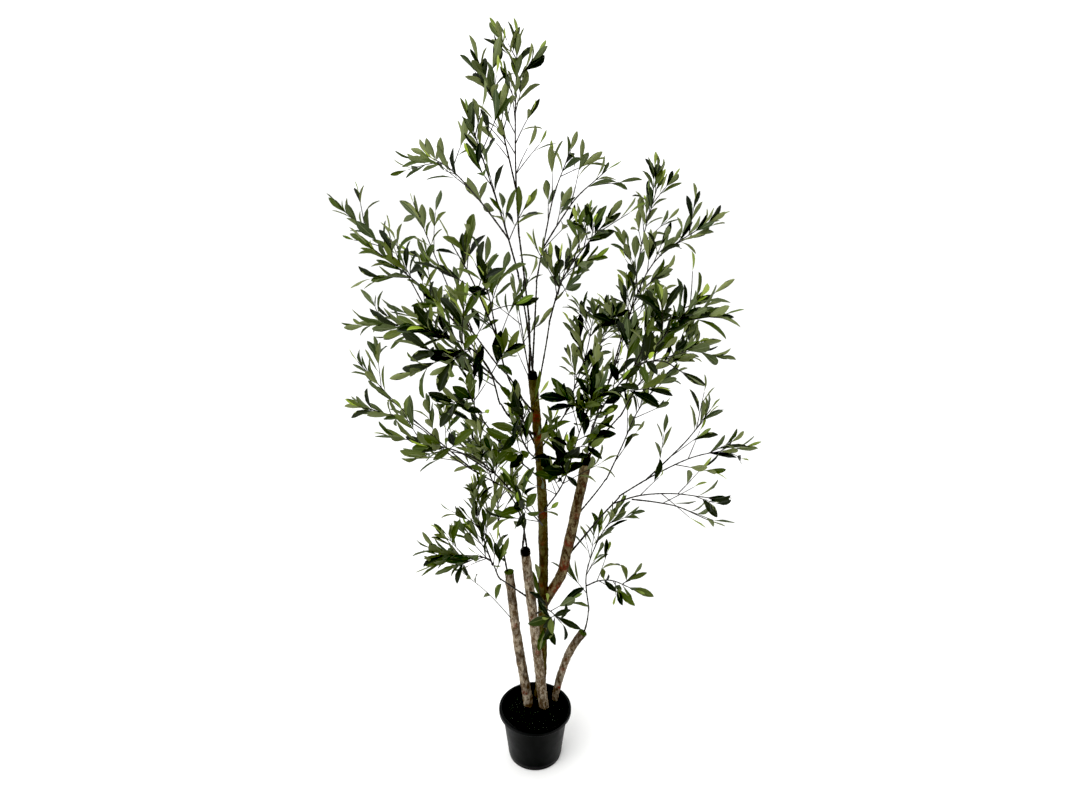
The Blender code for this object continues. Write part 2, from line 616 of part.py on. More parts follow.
def leaves_of(spray, stems, twigs, space, rng):
    """Leaves up the outer part of each stem and twig, one to a flat, and one at each end.

    The stems go first, so that the crown's furthest tips always get theirs.
    """
    leaves = []
    carriers = [(stem, STEM_SIDES, LEAVES_ON_STEM, FIRST_ON_STEM) for stem in stems]
    carriers += [(twig, TWIG_SIDES, LEAVES_ON_TWIG, FIRST_ON_TWIG) for twig in twigs]
    for limb, sides, count, first in carriers:
        turn = rng.randrange(TWIG_SIDES)
        for index in range(count + 1):
            ends_it = index == count
            share = END_LEAF if ends_it else first + (LAST_LEAF - first) * index / max(count - 1, 1)
            angle = END_LEAF_ANGLE if ends_it else LEAF_ANGLE * rng.uniform(*LEAF_ANGLES)
            size = rng.uniform(*LEAF_SIZES)
            roll = rng.uniform(-LEAF_ROLL, LEAF_ROLL)
            leaf = leaf_on(limb, share, flat_azimuth(turn + index, sides), angle, size, roll)
            if leaf_has_room(leaf, spray.name, space):
                leaves.append(leaf)
                space.add(leaf_rod(leaf), [leaf.width * LEAF_HALF], spray.name + " leaf")
    return leaves


def leaf_rod(leaf):
    """The leaf without its narrow foot, as the rod that keeps other leaves away."""
    return [leaf.root + leaf.direction * leaf.length * share for share in (LEAF_FOOT, 1)]


def leaf_has_room(leaf, owner, space):
    """Whether a leaf clears every limb and every other spray, and isn't buried in a leaf of its own spray."""
    foot, tip = leaf_rod(leaf)
    half = leaf.width * LEAF_HALF
    mine = (owner, owner + " stem", owner + " leaf")
    if space.nearest(leaf.root, tip, lambda other: other not in mine) < half + CLEAR:
        return False
    return space.nearest(foot, tip, lambda other: other == owner + " leaf") > half * LEAF_CROWDING


def leaf_mesh(leaf):
    """An eight-faced blade: a sphere of four by two segments, drawn out to a point at both ends."""
    bm = bmesh.new()
    bmesh.ops.create_uvsphere(bm, u_segments=4, v_segments=2, radius=1)
    across = leaf.direction.cross(leaf.normal)
    for vert in bm.verts:
        x, y, z = (round(value) for value in vert.co)
        along = {-1: 0, 1: 1}.get(z, LEAF_WIDEST if x else LEAF_THICKEST)
        rise = y * LEAF_THICKNESS / 2 + abs(x) * LEAF_KEEL
        midrib = leaf.root + leaf.direction * along * leaf.length
        vert.co = midrib + across * x * leaf.width / 2 + leaf.normal * rise
    return bm


# ---------------------------------------------------------------- fusing
def islands(bm):
    """The groups of faces that hang together."""
    left = set(bm.faces)
    found = []
    while left:
        group, edge = set(), [left.pop()]
        while edge:
            face = edge.pop()
            group.add(face)
            for link in face.edges:
                for other in link.link_faces:
                    if other in left:
                        left.remove(other)
                        edge.append(other)
        found.append(group)
    return found


def keep_largest(mesh):
    """Drops loose scraps and the shells of sealed hollows."""
    bm = bmesh.new()
    bm.from_mesh(mesh)
    groups = sorted(islands(bm), key=lambda group: sum(face.calc_area() for face in group))
    extra = [face for group in groups[:-1] for face in group]
    bmesh.ops.delete(bm, geom=extra, context="FACES")
    bm.to_mesh(mesh)
    bm.free()


def fuse(name, body, pieces, helpers):
    """One closed solid from a stem and the twigs and leaves rooted in it."""
    union = body.modifiers.new("union", "BOOLEAN")
    union.operation = "UNION"
    union.operand_type = "COLLECTION"
    union.collection = helpers
    union.solver = "EXACT"
    bpy.context.view_layer.update()
    graph = bpy.context.evaluated_depsgraph_get()
    fused = bpy.data.meshes.new_from_object(body.evaluated_get(graph))
    body.modifiers.clear()
    for piece in pieces:
        bpy.data.objects.remove(piece, do_unlink=True)
    body.data = fused
    body.data.name = name
    keep_largest(fused)


def make_sprays(limbs):
    space = Space()
    for name, limb in limbs.items():
        space.add(limb.curve, limb.radii, name)
    stems, twigs, leaves = {}, {}, {}
    for spray in SPRAYS:
        stems[spray.name] = stems_of(spray, limbs)
        for stem in stems[spray.name]:
            space.add(stem.curve, stem.radii, spray.name + " stem")
    for spray in SPRAYS:
        rng = random.Random(spray.name + " twigs")
        twigs[spray.name] = twigs_of(spray, stems[spray.name], space, rng)
    for spray in SPRAYS:
        rng = random.Random(spray.name + " leaves")
        leaves[spray.name] = leaves_of(spray, stems[spray.name], twigs[spray.name], space, rng)
    helpers = bpy.data.collections.new("spray pieces")
    bpy.context.scene.collection.children.link(helpers)
    for spray in SPRAYS:
        stem, *rest = stems[spray.name]
        body = add_object(spray.name, tube(stem, STEM_SIDES), "olive_leaf")
        pieces = [add_piece(tube(limb, STEM_SIDES), helpers) for limb in rest]
        pieces += [add_piece(tube(limb, TWIG_SIDES), helpers) for limb in twigs[spray.name]]
        pieces += [add_piece(leaf_mesh(leaf), helpers) for leaf in leaves[spray.name]]
        fuse(spray.name, body, pieces, helpers)
    bpy.data.collections.remove(helpers)


def add_piece(bm, helpers):
    return add_object("piece", bm, "olive_leaf", helpers)


def main():
    clear_scene()
    limbs = {}
    make_pot()
    make_fill()
    make_sticks(limbs)
    make_caps(limbs)
    make_boughs(limbs)
    make_sprays(limbs)


main()
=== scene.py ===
"""Looks of an artificial olive tree in a black nursery pot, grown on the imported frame.

Sawn natural sticks with bark stand in a weighted pot. Coated wire boughs carry sprays of fine wire twigs
with cloth leaves. The twigs follow the same seeded rule as the solids, and are carried on to finer ones.
"""

import json
import math
import random
from collections import namedtuple
from functools import lru_cache

import bmesh
import bpy
import numpy as np
from bpy.props import FloatProperty, FloatVectorProperty, IntProperty, PointerProperty
from mathutils import Matrix, Quaternion, Vector, noise

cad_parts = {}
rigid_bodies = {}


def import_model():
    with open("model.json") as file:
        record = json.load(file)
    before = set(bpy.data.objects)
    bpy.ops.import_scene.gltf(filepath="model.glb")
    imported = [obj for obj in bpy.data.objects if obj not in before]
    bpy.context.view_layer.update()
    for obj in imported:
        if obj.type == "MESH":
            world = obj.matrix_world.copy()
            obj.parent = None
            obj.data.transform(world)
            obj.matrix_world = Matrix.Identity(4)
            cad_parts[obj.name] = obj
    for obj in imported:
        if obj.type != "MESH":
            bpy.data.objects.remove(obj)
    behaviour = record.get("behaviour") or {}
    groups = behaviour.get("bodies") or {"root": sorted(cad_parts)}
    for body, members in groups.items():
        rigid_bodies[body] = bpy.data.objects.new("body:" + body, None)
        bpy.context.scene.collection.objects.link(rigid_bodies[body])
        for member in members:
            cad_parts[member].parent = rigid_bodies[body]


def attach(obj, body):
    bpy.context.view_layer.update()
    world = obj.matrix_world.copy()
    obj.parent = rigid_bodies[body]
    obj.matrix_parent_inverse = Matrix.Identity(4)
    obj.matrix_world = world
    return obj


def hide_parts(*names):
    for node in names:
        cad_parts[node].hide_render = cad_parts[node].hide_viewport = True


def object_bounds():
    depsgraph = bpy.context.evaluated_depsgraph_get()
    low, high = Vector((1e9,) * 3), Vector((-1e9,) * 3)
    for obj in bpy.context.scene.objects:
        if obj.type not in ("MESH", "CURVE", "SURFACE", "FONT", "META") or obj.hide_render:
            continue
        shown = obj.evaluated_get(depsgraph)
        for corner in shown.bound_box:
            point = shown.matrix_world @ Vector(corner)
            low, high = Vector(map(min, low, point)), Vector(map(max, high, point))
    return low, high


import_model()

bl_info = {
    "name": "Artificial olive tree",
    "version": (1, 0, 0),
    "blender": (4, 5, 0),
    "location": "3D View > Sidebar > Olive tree",
    "description": "Bark, wire twigs, cloth leaves and a pot on the frame of an artificial olive tree",
    "category": "Object",
}

CAD_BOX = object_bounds()
BODY = "root"

# ---------------------------------------------------------------- sizes shared with the solids
GAP = 0.0003  # clearance between two neighbouring solids
UP = Vector((0, 0, 1))
SPAN_STEPS = 6  # stations that a curve gets between two of its way points
AIM = 0.01  # a limb's direction is read over this share of its length, either way

POT_HEIGHT = 0.150
POT_BASE_RADIUS = 0.0695
POT_SHOULDER_RADIUS = 0.0870
POT_RIM_RADIUS = 0.0950
POT_RIM_HEIGHT = 0.0120
POT_WALL = 0.0025
POT_CORNER = 0.0040
FILL_BELOW_RIM = 0.0110
FILL_TOP = POT_HEIGHT - FILL_BELOW_RIM

STICK_STATIONS = 7
CAP_HEIGHT = 0.0170
CAP_OVERHANG = 0.0012
SEAT_RADIUS = 0.0050  # how far from a cap's middle the boughs are plugged in

BOUGH_STATIONS = 5
BOUGH_TAPER = 0.70  # tip radius as a share of foot radius
ROOT_STRETCH = 0.006  # how far, past its own radius, a limb runs straight out of its socket

STEM_SIDES = 5
STEM_STATIONS = 5
STEM_RADIUS = 0.0026
STEM_TIP_RADIUS = 0.0018
SIDE_STEM_SHARE = 0.25  # where along the stem a side stem leaves it
SIDE_STEM_BOW = 0.12  # how far it bows forward, as a share of its length
SIDE_STEM_SLIMNESS = 0.9  # its radius against the stem's

TWIG_RADIUS = 0.0015
TWIG_TIP_RADIUS = 0.0012
TWIG_ANGLE = math.radians(46)
TWIG_ANGLES = (0.75, 1.25)  # least and most, as a share of that angle
TWIG_LENGTHS = (0.60, 0.80)  # least and most, as a share of the spray's reach
TWIG_FOOT_LENGTH = 1.05  # how long a twig grows at the stem's foot, as a share of that length
TWIG_TIP_LENGTH = 0.70  # and at the stem's tip
TWIG_LIFT = 0.25  # how strongly a twig turns upward
TWIG_STEP = 2  # flats of the stem from one twig to the next
LAST_TWIG = 0.96  # where along the stem the last twig may stand
FEWEST_TWIGS = 2

FIRST_CORNER = math.radians(90)  # where the first corner of a limb's cross-section lies
SPACE_SLACK = 0.012  # a spray may lean this far past the halfway line to the next one
CLEAR = 0.0012  # least distance between two sprays, or a spray and a limb
FAR = 1.0  # the distance to nothing at all
WELD = 1e-6  # points closer than this are one
TINY = 1e-15  # keeps a division from failing on rods that lie alongside each other
MOST_RODS = 8192

Stick = namedtuple("Stick", "name foot_radius top_radius way")
Bough = namedtuple("Bough", "name parent share bearing radius way")
Spray = namedtuple("Spray", "name parent share way side bare twigs reach")

# Each stick from the fill to its sawn end. The fork has its foot on the trunk.
STICKS = (
    Stick("main_trunk", 0.0138, 0.0099, (
        (0.013, 0.050, FILL_TOP), (0.018, 0.046, 0.30), (0.021, 0.038, 0.52), (0.018, 0.032, 0.72),
        (0.008, 0.026, 0.89), (-0.006, 0.020, 1.060))),
    Stick("left_stick", 0.0128, 0.0106, (
        (-0.016, 0.015, FILL_TOP), (-0.034, 0.012, 0.27), (-0.051, 0.007, 0.41), (-0.063, 0.000, 0.550))),
    Stick("front_stick", 0.0128, 0.0110, (
        (0.024, 0.008, FILL_TOP), (0.011, 0.001, 0.27), (-0.004, -0.011, 0.43), (-0.023, -0.030, 0.634))),
    Stick("right_stick", 0.0092, 0.0104, (
        (0.053, 0.040, FILL_TOP), (0.066, 0.039, 0.213), (0.092, 0.035, 0.303), (0.123, 0.030, 0.362))),
)
FORK_SHARE = 0.355  # how far up the main trunk the fork leaves
RIGHT_FORK = Stick("right_fork", 0.0125, 0.0122, (
    (0.067, 0.036, 0.545), (0.082, 0.033, 0.62), (0.101, 0.029, 0.733), (0.120, 0.024, 0.846)))
CAPPED = ("main_trunk", "right_fork", "left_stick", "front_stick")

# Boughs: parent limb, share of its length, bearing in degrees of the seat on a cap, foot radius, way points.
BOUGHS = (
    Bough("bough_top", "main_trunk_cap", 1, 185, 0.0030, (
        (-0.014, 0.020, 1.195), (-0.028, 0.010, 1.325), (-0.034, 0.004, 1.380))),
    Bough("bough_top_left", "main_trunk_cap", 1, 285, 0.0028, (
        (-0.018, -0.020, 1.200), (-0.036, -0.045, 1.310))),
    Bough("bough_top_right", "main_trunk_cap", 1, 65, 0.0028, (
        (-0.001, 0.048, 1.190), (0.003, 0.062, 1.270))),
    Bough("bough_upper_right", "main_trunk", 0.93, None, 0.0026, (
        (0.018, -0.012, 1.110), (0.030, -0.022, 1.200))),
    Bough("bough_front_left", "main_trunk", 0.84, None, 0.0034, (
        (-0.052, -0.040, 0.985), (-0.075, -0.062, 1.030))),
    Bough("bough_front_centre", "main_trunk", 0.90, None, 0.0028, (
        (-0.045, -0.034, 1.050), (-0.065, -0.060, 1.110))),
    Bough("bough_left", "main_trunk", 0.80, None, 0.0032, (
        (-0.050, 0.030, 0.995), (-0.100, 0.038, 1.060))),
    Bough("bough_back_left", "main_trunk", 0.87, None, 0.0028, (
        (-0.050, 0.080, 1.025), (-0.085, 0.100, 1.060))),
    Bough("bough_mid_left", "front_stick_cap", 1, 215, 0.0032, (
        (-0.026, -0.046, 0.740), (-0.046, -0.056, 0.800))),
    Bough("bough_mid_left_up", "front_stick_cap", 1, 35, 0.0028, (
        (-0.036, 0.000, 0.725), (-0.066, 0.032, 0.768))),
    Bough("bough_left_stick", "left_stick_cap", 1, 180, 0.0026, (
        (-0.079, 0.010, 0.625), (-0.088, 0.018, 0.662))),
    Bough("bough_low_left", "front_stick", 0.72, None, 0.0028, (
        (-0.060, -0.052, 0.540), (-0.084, -0.056, 0.582))),
    Bough("bough_fork_front", "right_fork_cap", 1, 235, 0.0030, (
        (0.125, -0.004, 0.925), (0.127, -0.045, 0.970))),
    Bough("bough_fork_tall", "right_fork_cap", 1, 130, 0.0030, (
        (0.146, 0.044, 0.975), (0.176, 0.072, 1.045))),
    Bough("bough_fork_far", "right_fork_cap", 1, 330, 0.0030, (
        (0.155, -0.010, 0.970), (0.190, -0.036, 1.050))),
    Bough("bough_fork_out", "right_fork_cap", 1, 45, 0.0028, (
        (0.160, 0.042, 0.912), (0.198, 0.066, 0.948))),
    Bough("bough_mid_right", "right_fork", 0.33, None, 0.0032, (
        (0.148, 0.020, 0.690), (0.200, 0.010, 0.765))),
    Bough("bough_mid_right_up", "right_fork", 0.62, None, 0.0026, (
        (0.145, 0.052, 0.750), (0.172, 0.076, 0.778))),
    Bough("bough_right_stick", "right_stick", 1, None, 0.0026, (
        (0.134, 0.036, 0.395), (0.136, 0.036, 0.425))),
)

# Sprays: parent limb and share of its length, the stem's way points, the tip of a side stem (or None),
# the share of the stem that is bare, how many twigs, and how far the twigs reach.
SPRAYS = (
    Spray("spray_top", "bough_top", 1,
          ((-0.040, 0.002, 1.501), (-0.040, 0.006, 1.633), (-0.036, 0.010, 1.739)),
          (-0.104, 0.000, 1.699), 0.30, 12, 0.085),
    Spray("spray_top_left", "bough_top_left", 1,
          ((-0.059, -0.060, 1.402), (-0.090, -0.115, 1.515), (-0.115, -0.150, 1.602)),
          (-0.235, 0.140, 1.532), 0.12, 8, 0.115),
    Spray("spray_top_right", "bough_top_right", 1,
          ((0.027, 0.100, 1.392), (0.045, 0.150, 1.460), (0.072, 0.195, 1.522)),
          (0.142, 0.150, 1.487), 0.12, 7, 0.110),
    Spray("spray_upper_right", "bough_upper_right", 1,
          ((0.059, -0.030, 1.303), (0.102, -0.080, 1.377), (0.131, -0.108, 1.420)),
          (0.055, 0.030, 1.280), 0.08, 7, 0.110),
    Spray("spray_front_left", "bough_front_left", 1,
          ((-0.081, -0.080, 1.074), (-0.114, -0.190, 1.188), (-0.184, -0.320, 1.267)),
          (-0.204, -0.190, 1.192), 0.10, 8, 0.120),
    Spray("spray_front_centre", "bough_front_centre", 1,
          ((-0.077, -0.090, 1.157), (-0.083, -0.140, 1.245), (-0.090, -0.290, 1.352)),
          (-0.150, -0.200, 1.392), 0.12, 8, 0.115),
    Spray("spray_left_far", "bough_left", 1,
          ((-0.198, 0.050, 1.130), (-0.261, 0.060, 1.265), (-0.410, 0.090, 1.415)),
          (-0.385, 0.085, 1.165), 0.12, 8, 0.110),
    Spray("spray_upper_left_out", "bough_left", 0.90,
          ((-0.137, 0.000, 1.144), (-0.220, -0.060, 1.274), (-0.312, -0.120, 1.373)),
          None, 0.20, 6, 0.110),
    Spray("spray_upper_left", "bough_back_left", 1,
          ((-0.128, 0.125, 1.109), (-0.190, 0.160, 1.203), (-0.284, 0.270, 1.397)),
          (-0.194, 0.290, 1.207), 0.10, 8, 0.120),
    Spray("spray_left_inner", "main_trunk", 0.72,
          ((-0.041, -0.040, 0.879), (-0.091, -0.090, 0.974), (-0.127, -0.190, 1.079),
           (-0.127, -0.270, 1.138)),
          None, 0.12, 7, 0.115),
    Spray("spray_mid_left", "bough_mid_left", 1,
          ((-0.132, -0.056, 0.897), (-0.214, -0.080, 0.939), (-0.296, -0.100, 0.966)),
          (-0.191, -0.180, 0.981), 0.10, 7, 0.105),
    Spray("spray_mid_left_up", "bough_mid_left_up", 1,
          ((-0.133, 0.075, 0.791), (-0.207, 0.100, 0.831), (-0.318, 0.160, 0.902), (-0.425, 0.200, 0.917)),
          (-0.405, 0.120, 1.047), 0.10, 9, 0.110),
    Spray("spray_left_stick", "bough_left_stick", 1,
          ((-0.092, 0.045, 0.743), (-0.138, 0.160, 0.831)),
          None, 0.05, 5, 0.105),
    Spray("spray_low_left", "bough_low_left", 1,
          ((-0.101, -0.060, 0.632), (-0.146, -0.080, 0.659), (-0.197, -0.105, 0.676)),
          (-0.147, 0.030, 0.731), 0.05, 8, 0.095),
    Spray("spray_front_right", "bough_fork_front", 1,
          ((0.138, -0.090, 1.030), (0.166, -0.165, 1.109), (0.229, -0.255, 1.228), (0.277, -0.305, 1.313)),
          None, 0.06, 8, 0.115),
    Spray("spray_tall_right", "bough_fork_tall", 1,
          ((0.203, 0.110, 1.118), (0.234, 0.170, 1.217), (0.262, 0.260, 1.360), (0.298, 0.320, 1.453)),
          None, 0.10, 7, 0.110),
    Spray("spray_high_right", "bough_fork_tall", 0.88,
          ((0.197, 0.046, 1.156), (0.237, 0.045, 1.286), (0.318, 0.070, 1.377), (0.375, 0.080, 1.397)),
          None, 0.10, 7, 0.100),
    Spray("spray_far_right", "bough_fork_far", 1,
          ((0.219, -0.066, 1.139), (0.255, -0.100, 1.221), (0.332, -0.140, 1.283)),
          (0.282, -0.200, 1.153), 0.10, 7, 0.105),
    Spray("spray_out_right", "bough_fork_out", 1,
          ((0.239, 0.110, 0.997), (0.286, 0.148, 1.045), (0.402, 0.225, 1.072)),
          None, 0.12, 6, 0.110),
    Spray("spray_back_right", "main_trunk", 0.80,
          ((0.047, 0.085, 0.937), (0.110, 0.130, 0.983), (0.151, 0.220, 1.055), (0.188, 0.310, 1.126)),
          (0.138, 0.170, 1.156), 0.15, 7, 0.115),
    Spray("spray_mid_right", "bough_mid_right", 1,
          ((0.252, 0.000, 0.812), (0.311, -0.004, 0.848), (0.410, 0.010, 0.887), (0.464, 0.010, 0.890)),
          (0.399, 0.060, 0.950), 0.30, 8, 0.105),
    Spray("spray_mid_right_low", "bough_mid_right", 0.90,
          ((0.245, -0.030, 0.791), (0.296, -0.045, 0.804), (0.379, -0.090, 0.817)),
          (0.379, -0.050, 0.747), 0.30, 6, 0.090),
    Spray("spray_mid_right_up", "bough_mid_right_up", 1,
          ((0.199, 0.104, 0.818), (0.255, 0.170, 0.920), (0.302, 0.215, 0.968)),
          None, 0.10, 6, 0.110),
    Spray("spray_centre", "main_trunk", 0.77,
          ((-0.015, -0.050, 0.909), (-0.033, -0.115, 0.983), (-0.022, -0.190, 1.056)),
          None, 0.10, 6, 0.110),
    Spray("spray_centre_low", "main_trunk", 0.58,
          ((0.012, -0.040, 0.723), (-0.017, -0.110, 0.797), (-0.030, -0.170, 0.840)),
          None, 0.10, 5, 0.100),
    Spray("spray_centre_right", "main_trunk", 0.62,
          ((0.046, -0.030, 0.770), (0.065, -0.065, 0.849), (0.088, -0.120, 0.969), (0.113, -0.190, 1.098)),
          None, 0.15, 6, 0.110),
    Spray("spray_centre_back", "main_trunk", 0.93,
          ((-0.019, 0.070, 1.083), (-0.032, 0.140, 1.145), (-0.046, 0.225, 1.203)),
          None, 0.10, 5, 0.115),
    Spray("spray_right_stick", "bough_right_stick", 1,
          ((0.125, 0.048, 0.486), (0.148, 0.085, 0.572), (0.200, 0.110, 0.663)),
          (0.223, -0.040, 0.548), 0.08, 7, 0.085),
    Spray("spray_trunk_low", "front_stick", 0.62,
          ((0.028, -0.050, 0.492), (0.053, -0.115, 0.510)),
          None, 0.10, 4, 0.085),
)

SPRAY_NAMES = [spray.name for spray in SPRAYS]

# ---------------------------------------------------------------- sizes of the looks
# How a spray is dressed: leaf size against the usual, share of dark leaves, how many fine twigs it gets
# to each of its twigs, the share of its leaves that are kept, and the part of that share that its lowest
# twigs keep. The dark share is partly old leaves and partly painted shade: it is set higher on the sprays
# to the right and in the middle of the crown, to darken the crown where shade falls.
Dress = namedtuple("Dress", "size dark fine kept low", defaults=(0.70,))
DRESSES = {
    "spray_top": Dress(0.92, 0.44, 0.75, 1.00, 0.00),
    "spray_top_left": Dress(1.00, 0.40, 0.50, 0.72),
    "spray_top_right": Dress(1.05, 0.42, 0.02, 0.40),
    "spray_upper_right": Dress(1.00, 0.46, 0.95, 0.78),
    "spray_front_left": Dress(1.22, 0.52, 0.60, 0.97),
    "spray_front_centre": Dress(1.12, 0.30, 0.50, 0.63),
    "spray_left_far": Dress(0.95, 0.24, 0.50, 0.78),
    "spray_upper_left_out": Dress(0.95, 0.24, 0.36, 0.96),
    "spray_upper_left": Dress(1.00, 0.20, 0.03, 0.40),
    "spray_left_inner": Dress(1.12, 0.46, 0.16, 0.57),
    "spray_mid_left": Dress(1.05, 0.25, 0.08, 0.84),
    "spray_mid_left_up": Dress(1.00, 0.20, 0.31, 0.82),
    "spray_left_stick": Dress(1.00, 0.22, 2.40, 0.98),
    "spray_low_left": Dress(0.98, 0.22, 2.40, 1.00),
    "spray_front_right": Dress(1.10, 0.60, 1.00, 0.86),
    "spray_tall_right": Dress(1.00, 0.56, 1.70, 0.75),
    "spray_high_right": Dress(0.95, 0.54, 1.10, 0.95),
    "spray_far_right": Dress(1.12, 0.56, 0.04, 0.36),
    "spray_out_right": Dress(1.00, 0.66, 0.92, 1.00),
    "spray_back_right": Dress(1.00, 0.60, 1.66, 1.00),
    "spray_mid_right": Dress(1.05, 0.68, 0.04, 0.54),
    "spray_mid_right_low": Dress(1.00, 0.72, 0.02, 0.44),
    "spray_mid_right_up": Dress(0.90, 0.64, 0.14, 0.68),
    "spray_centre": Dress(1.15, 0.46, 1.00, 0.80),
    "spray_centre_low": Dress(1.18, 0.48, 0.19, 0.60),
    "spray_centre_right": Dress(1.15, 0.50, 2.40, 1.00),
    "spray_centre_back": Dress(1.00, 0.38, 0.10, 0.40),
    "spray_right_stick": Dress(1.05, 0.42, 1.05, 0.82),
    "spray_trunk_low": Dress(1.20, 0.55, 0.14, 0.76),
}

PLUG_DEPTH = 0.005  # how deep a wire is pushed into a cap or into the wire before it
STEM_SKIPPED, BOUGH_SKIPPED, FORK_SKIPPED = 2, 3, 2  # stations of a solid that its looks leave out
SHORT_BOUGH = 0.12  # a bough or stem that leaves a side and is shorter than this is drawn straight
STEM_EXTENSION = 0.024  # how far a stem's leafy tip runs on past the solid's stem
SHOOT_EXTENSION = 0.026  # and a twig's past the solid's twig
SHOOT_BOW = 0.05  # how far a shoot bows, as a share of its length
SHOOT_BOWS = (-0.4, 1.0)  # least and most, as a share of that bow
FINE_TWIG_LENGTHS = (0.50, 0.85)  # least and most, as a share of the twigs' length
FINE_TWIG_ANGLE = math.radians(40)
FIRST_FINE_TWIG = 0.22  # where on the stem the fine twigs start
SIDE_TWIG_SHARE = 0.66  # where on the left stick one more twig is pushed in
SIDE_TWIG_TIP = Vector((-0.1721, -0.0700, 0.6092))
SIDE_TWIG_SPRAY = "spray_low_left"  # its leaves are of this spray's kind
SIDE_TWIG_KEPT = 0.55  # the share of its leaves that it keeps

FIRST_LEAF = 0.40  # where on a shoot the first pair of leaves stands
FIRST_LEAF_ON_STEM = 0.74
LAST_LEAF = 0.985
LEAF_CROWDING = 0.85  # below 1, the pairs stand closer together toward the tip
LEAF_NEXT_TURN = math.radians(90)  # each pair stands crosswise to the one below it
LEAF_TURN_PLAY = math.radians(28)
LEAF_FOOT_ANGLE = math.radians(36)  # between the leaf and its shoot, at the shoot's foot
LEAF_TIP_ANGLE = math.radians(17)  # and at the shoot's tip
LEAF_ANGLES = (0.75, 1.25)  # least and most, as a share of that angle
LEAF_END_ANGLE = math.radians(5)  # the angle of the leaf that ends the shoot
LEAF_ALONG_SHOOT = math.radians(12)  # a leaf at less than this angle turns its face sideways
LEAF_LIFT = 0.12  # how strongly a leaf turns upward
LEAF_FOOT_SIZE = 1.06  # a leaf's size at the shoot's foot, against the usual
LEAF_SIZE_LOSS = 0.22  # and how much of that is lost up to the shoot's tip
LEAF_SIZES = (0.82, 1.14)  # least and most, as a share of that size
LEAF_WIDTHS = (0.72, 1.25)  # least and most, as a share of the usual width
LEAF_ROLL = 0.6  # most roll about its own length, in radians
LEAF_BEND = (0.28, 0.32)  # mean and spread of its bend, foot to tip, in radians
LEAF_TWIST = 0.5  # most twist, foot to tip, in radians
LEAF_TRIES = 3
LEAF_RETRY_TURN = math.tau / 5  # how far round its shoot a leaf is turned at each further try
LEAF_CORE = 0.10  # radius that other leaves keep out of, as a share of a leaf's width
LEAF_GAP = 0.0008  # least distance from a leaf to another one's core
LEAF_OFF_LIMBS = 0.35  # and to a limb, as a share of the leaf's width
LEAF_FREE_FROM = 0.3  # the share of a leaf, from its foot, that may be near its neighbours
BOX_PLAY = 0.006  # how far a leaf may stand out of the solids' box

YOUNG_FROM = 0.80  # where on a shoot the leaves may be young ones
YOUNG_SHARE = 0.50
YOUNG_SIZE = 0.78
DARK_AT_FOOT = 1.25  # share of old leaves at a shoot's foot, against the spray's own share
DARK_LOSS = 0.5  # and how much of that is lost up to the shoot's tip
GROWN_SHARE = 0.55  # of the leaves that are neither young nor old; the others are dusty
LEAF_TONES = ("old", "grown", "dusty", "young")
BREADTHS = dict(zip(LEAF_TONES, (0.98, 0.95, 0.86, 0.74)))  # of a tone's leaves, against the usual

PARTING_WIDTH = 0.044  # the crown is parted this wide in front of the trunk
PARTED_FROM = 0.62  # from this height up
PARTED_ABOVE = 0.05  # to this far over the trunk's top
PARTED_SHARE = 0.62  # this share of the leaves that stand there is left out

# A leaf's cross-section runs from edge to edge over the top and back underneath.
LEAF_ACROSS = (-1.0, -0.5, 0.0, 0.5, 1.0, 0.5, 0.0, -0.5)
LEAF_SIDE = (0.0, 0.8, 1.0, 0.8, 0.0, -0.8, -1.0, -0.8)  # above or below the middle surface
LEAF_ROWS = (0.08, 0.24, 0.44, 0.64, 0.82, 0.94)  # stations up the leaf
LEAF_OUTLINE = (0.09, 0.44, 0.82, 1.00, 0.76, 0.36)  # its width there, against its greatest
LEAF_STALK_WIDTH = 0.0012
LEAF_FOLD = 0.46  # how steeply the halves of a leaf rise from its midrib
LEAF_RIPPLE = 0.10  # height of the waves along its edges, as a share of half its width
LEAF_WAVES = 11  # radians of wave from foot to tip
TWIST_FROM = 0.3  # where along the leaf the twist is nil
STRAIGHT = 1e-4  # a leaf bent by less than this is straight
LEAF_CREASE = math.radians(60)
TOP_SPANS = 4  # the first spans of the cross-section make up the leaf's upper face


def linear(code):
    """A hex colour as linear red, green and blue."""
    channels = [int(code[at : at + 2], 16) / 255 for at in (1, 3, 5)]
    return tuple(c / 12.92 if c <= 0.04045 else ((c + 0.055) / 1.055) ** 2.4 for c in channels)


def colour(name, description, code):
    """A colour that a user may change."""
    return FloatVectorProperty(
        name=name, description=description, default=linear(code), size=3, min=0, max=1, subtype="COLOR"
    )


def length(name, description, metres):
    """A length that a user may change."""
    return FloatProperty(
        name=name, description=description, default=metres, min=0, unit="LENGTH", precision=5
    )


# ---------------------------------------------------------------- what a user may change
class PotSettings(bpy.types.PropertyGroup):
    """The nursery pot"""

    steps: IntProperty(name="Steps", description="Facets round the pot", default=128, min=16)
    plastic: colour("Plastic", "Colour of the moulded plastic", "#050606")
    dust: colour("Dust", "Colour of the dust on the plastic", "#111211")


class FillSettings(bpy.types.PropertyGroup):
    """The weighted fill and what is strewn on it"""

    soil: colour("Soil", "Colour of the dark top layer", "#0A0B08")
    crumb: colour("Crumbs", "Colour of its drier crumbs", "#12130D")
    grit: colour("Grit", "Colour of the grit", "#50584F")
    moss: colour("Moss", "Colour of the dried moss", "#1C2717")
    relief: length("Relief", "Height of the lumps on the fill", 0.0030)
    grains: IntProperty(name="Grains", description="Number of grit grains", default=210, min=0)
    tufts: IntProperty(name="Tufts", description="Number of moss threads", default=420, min=0)


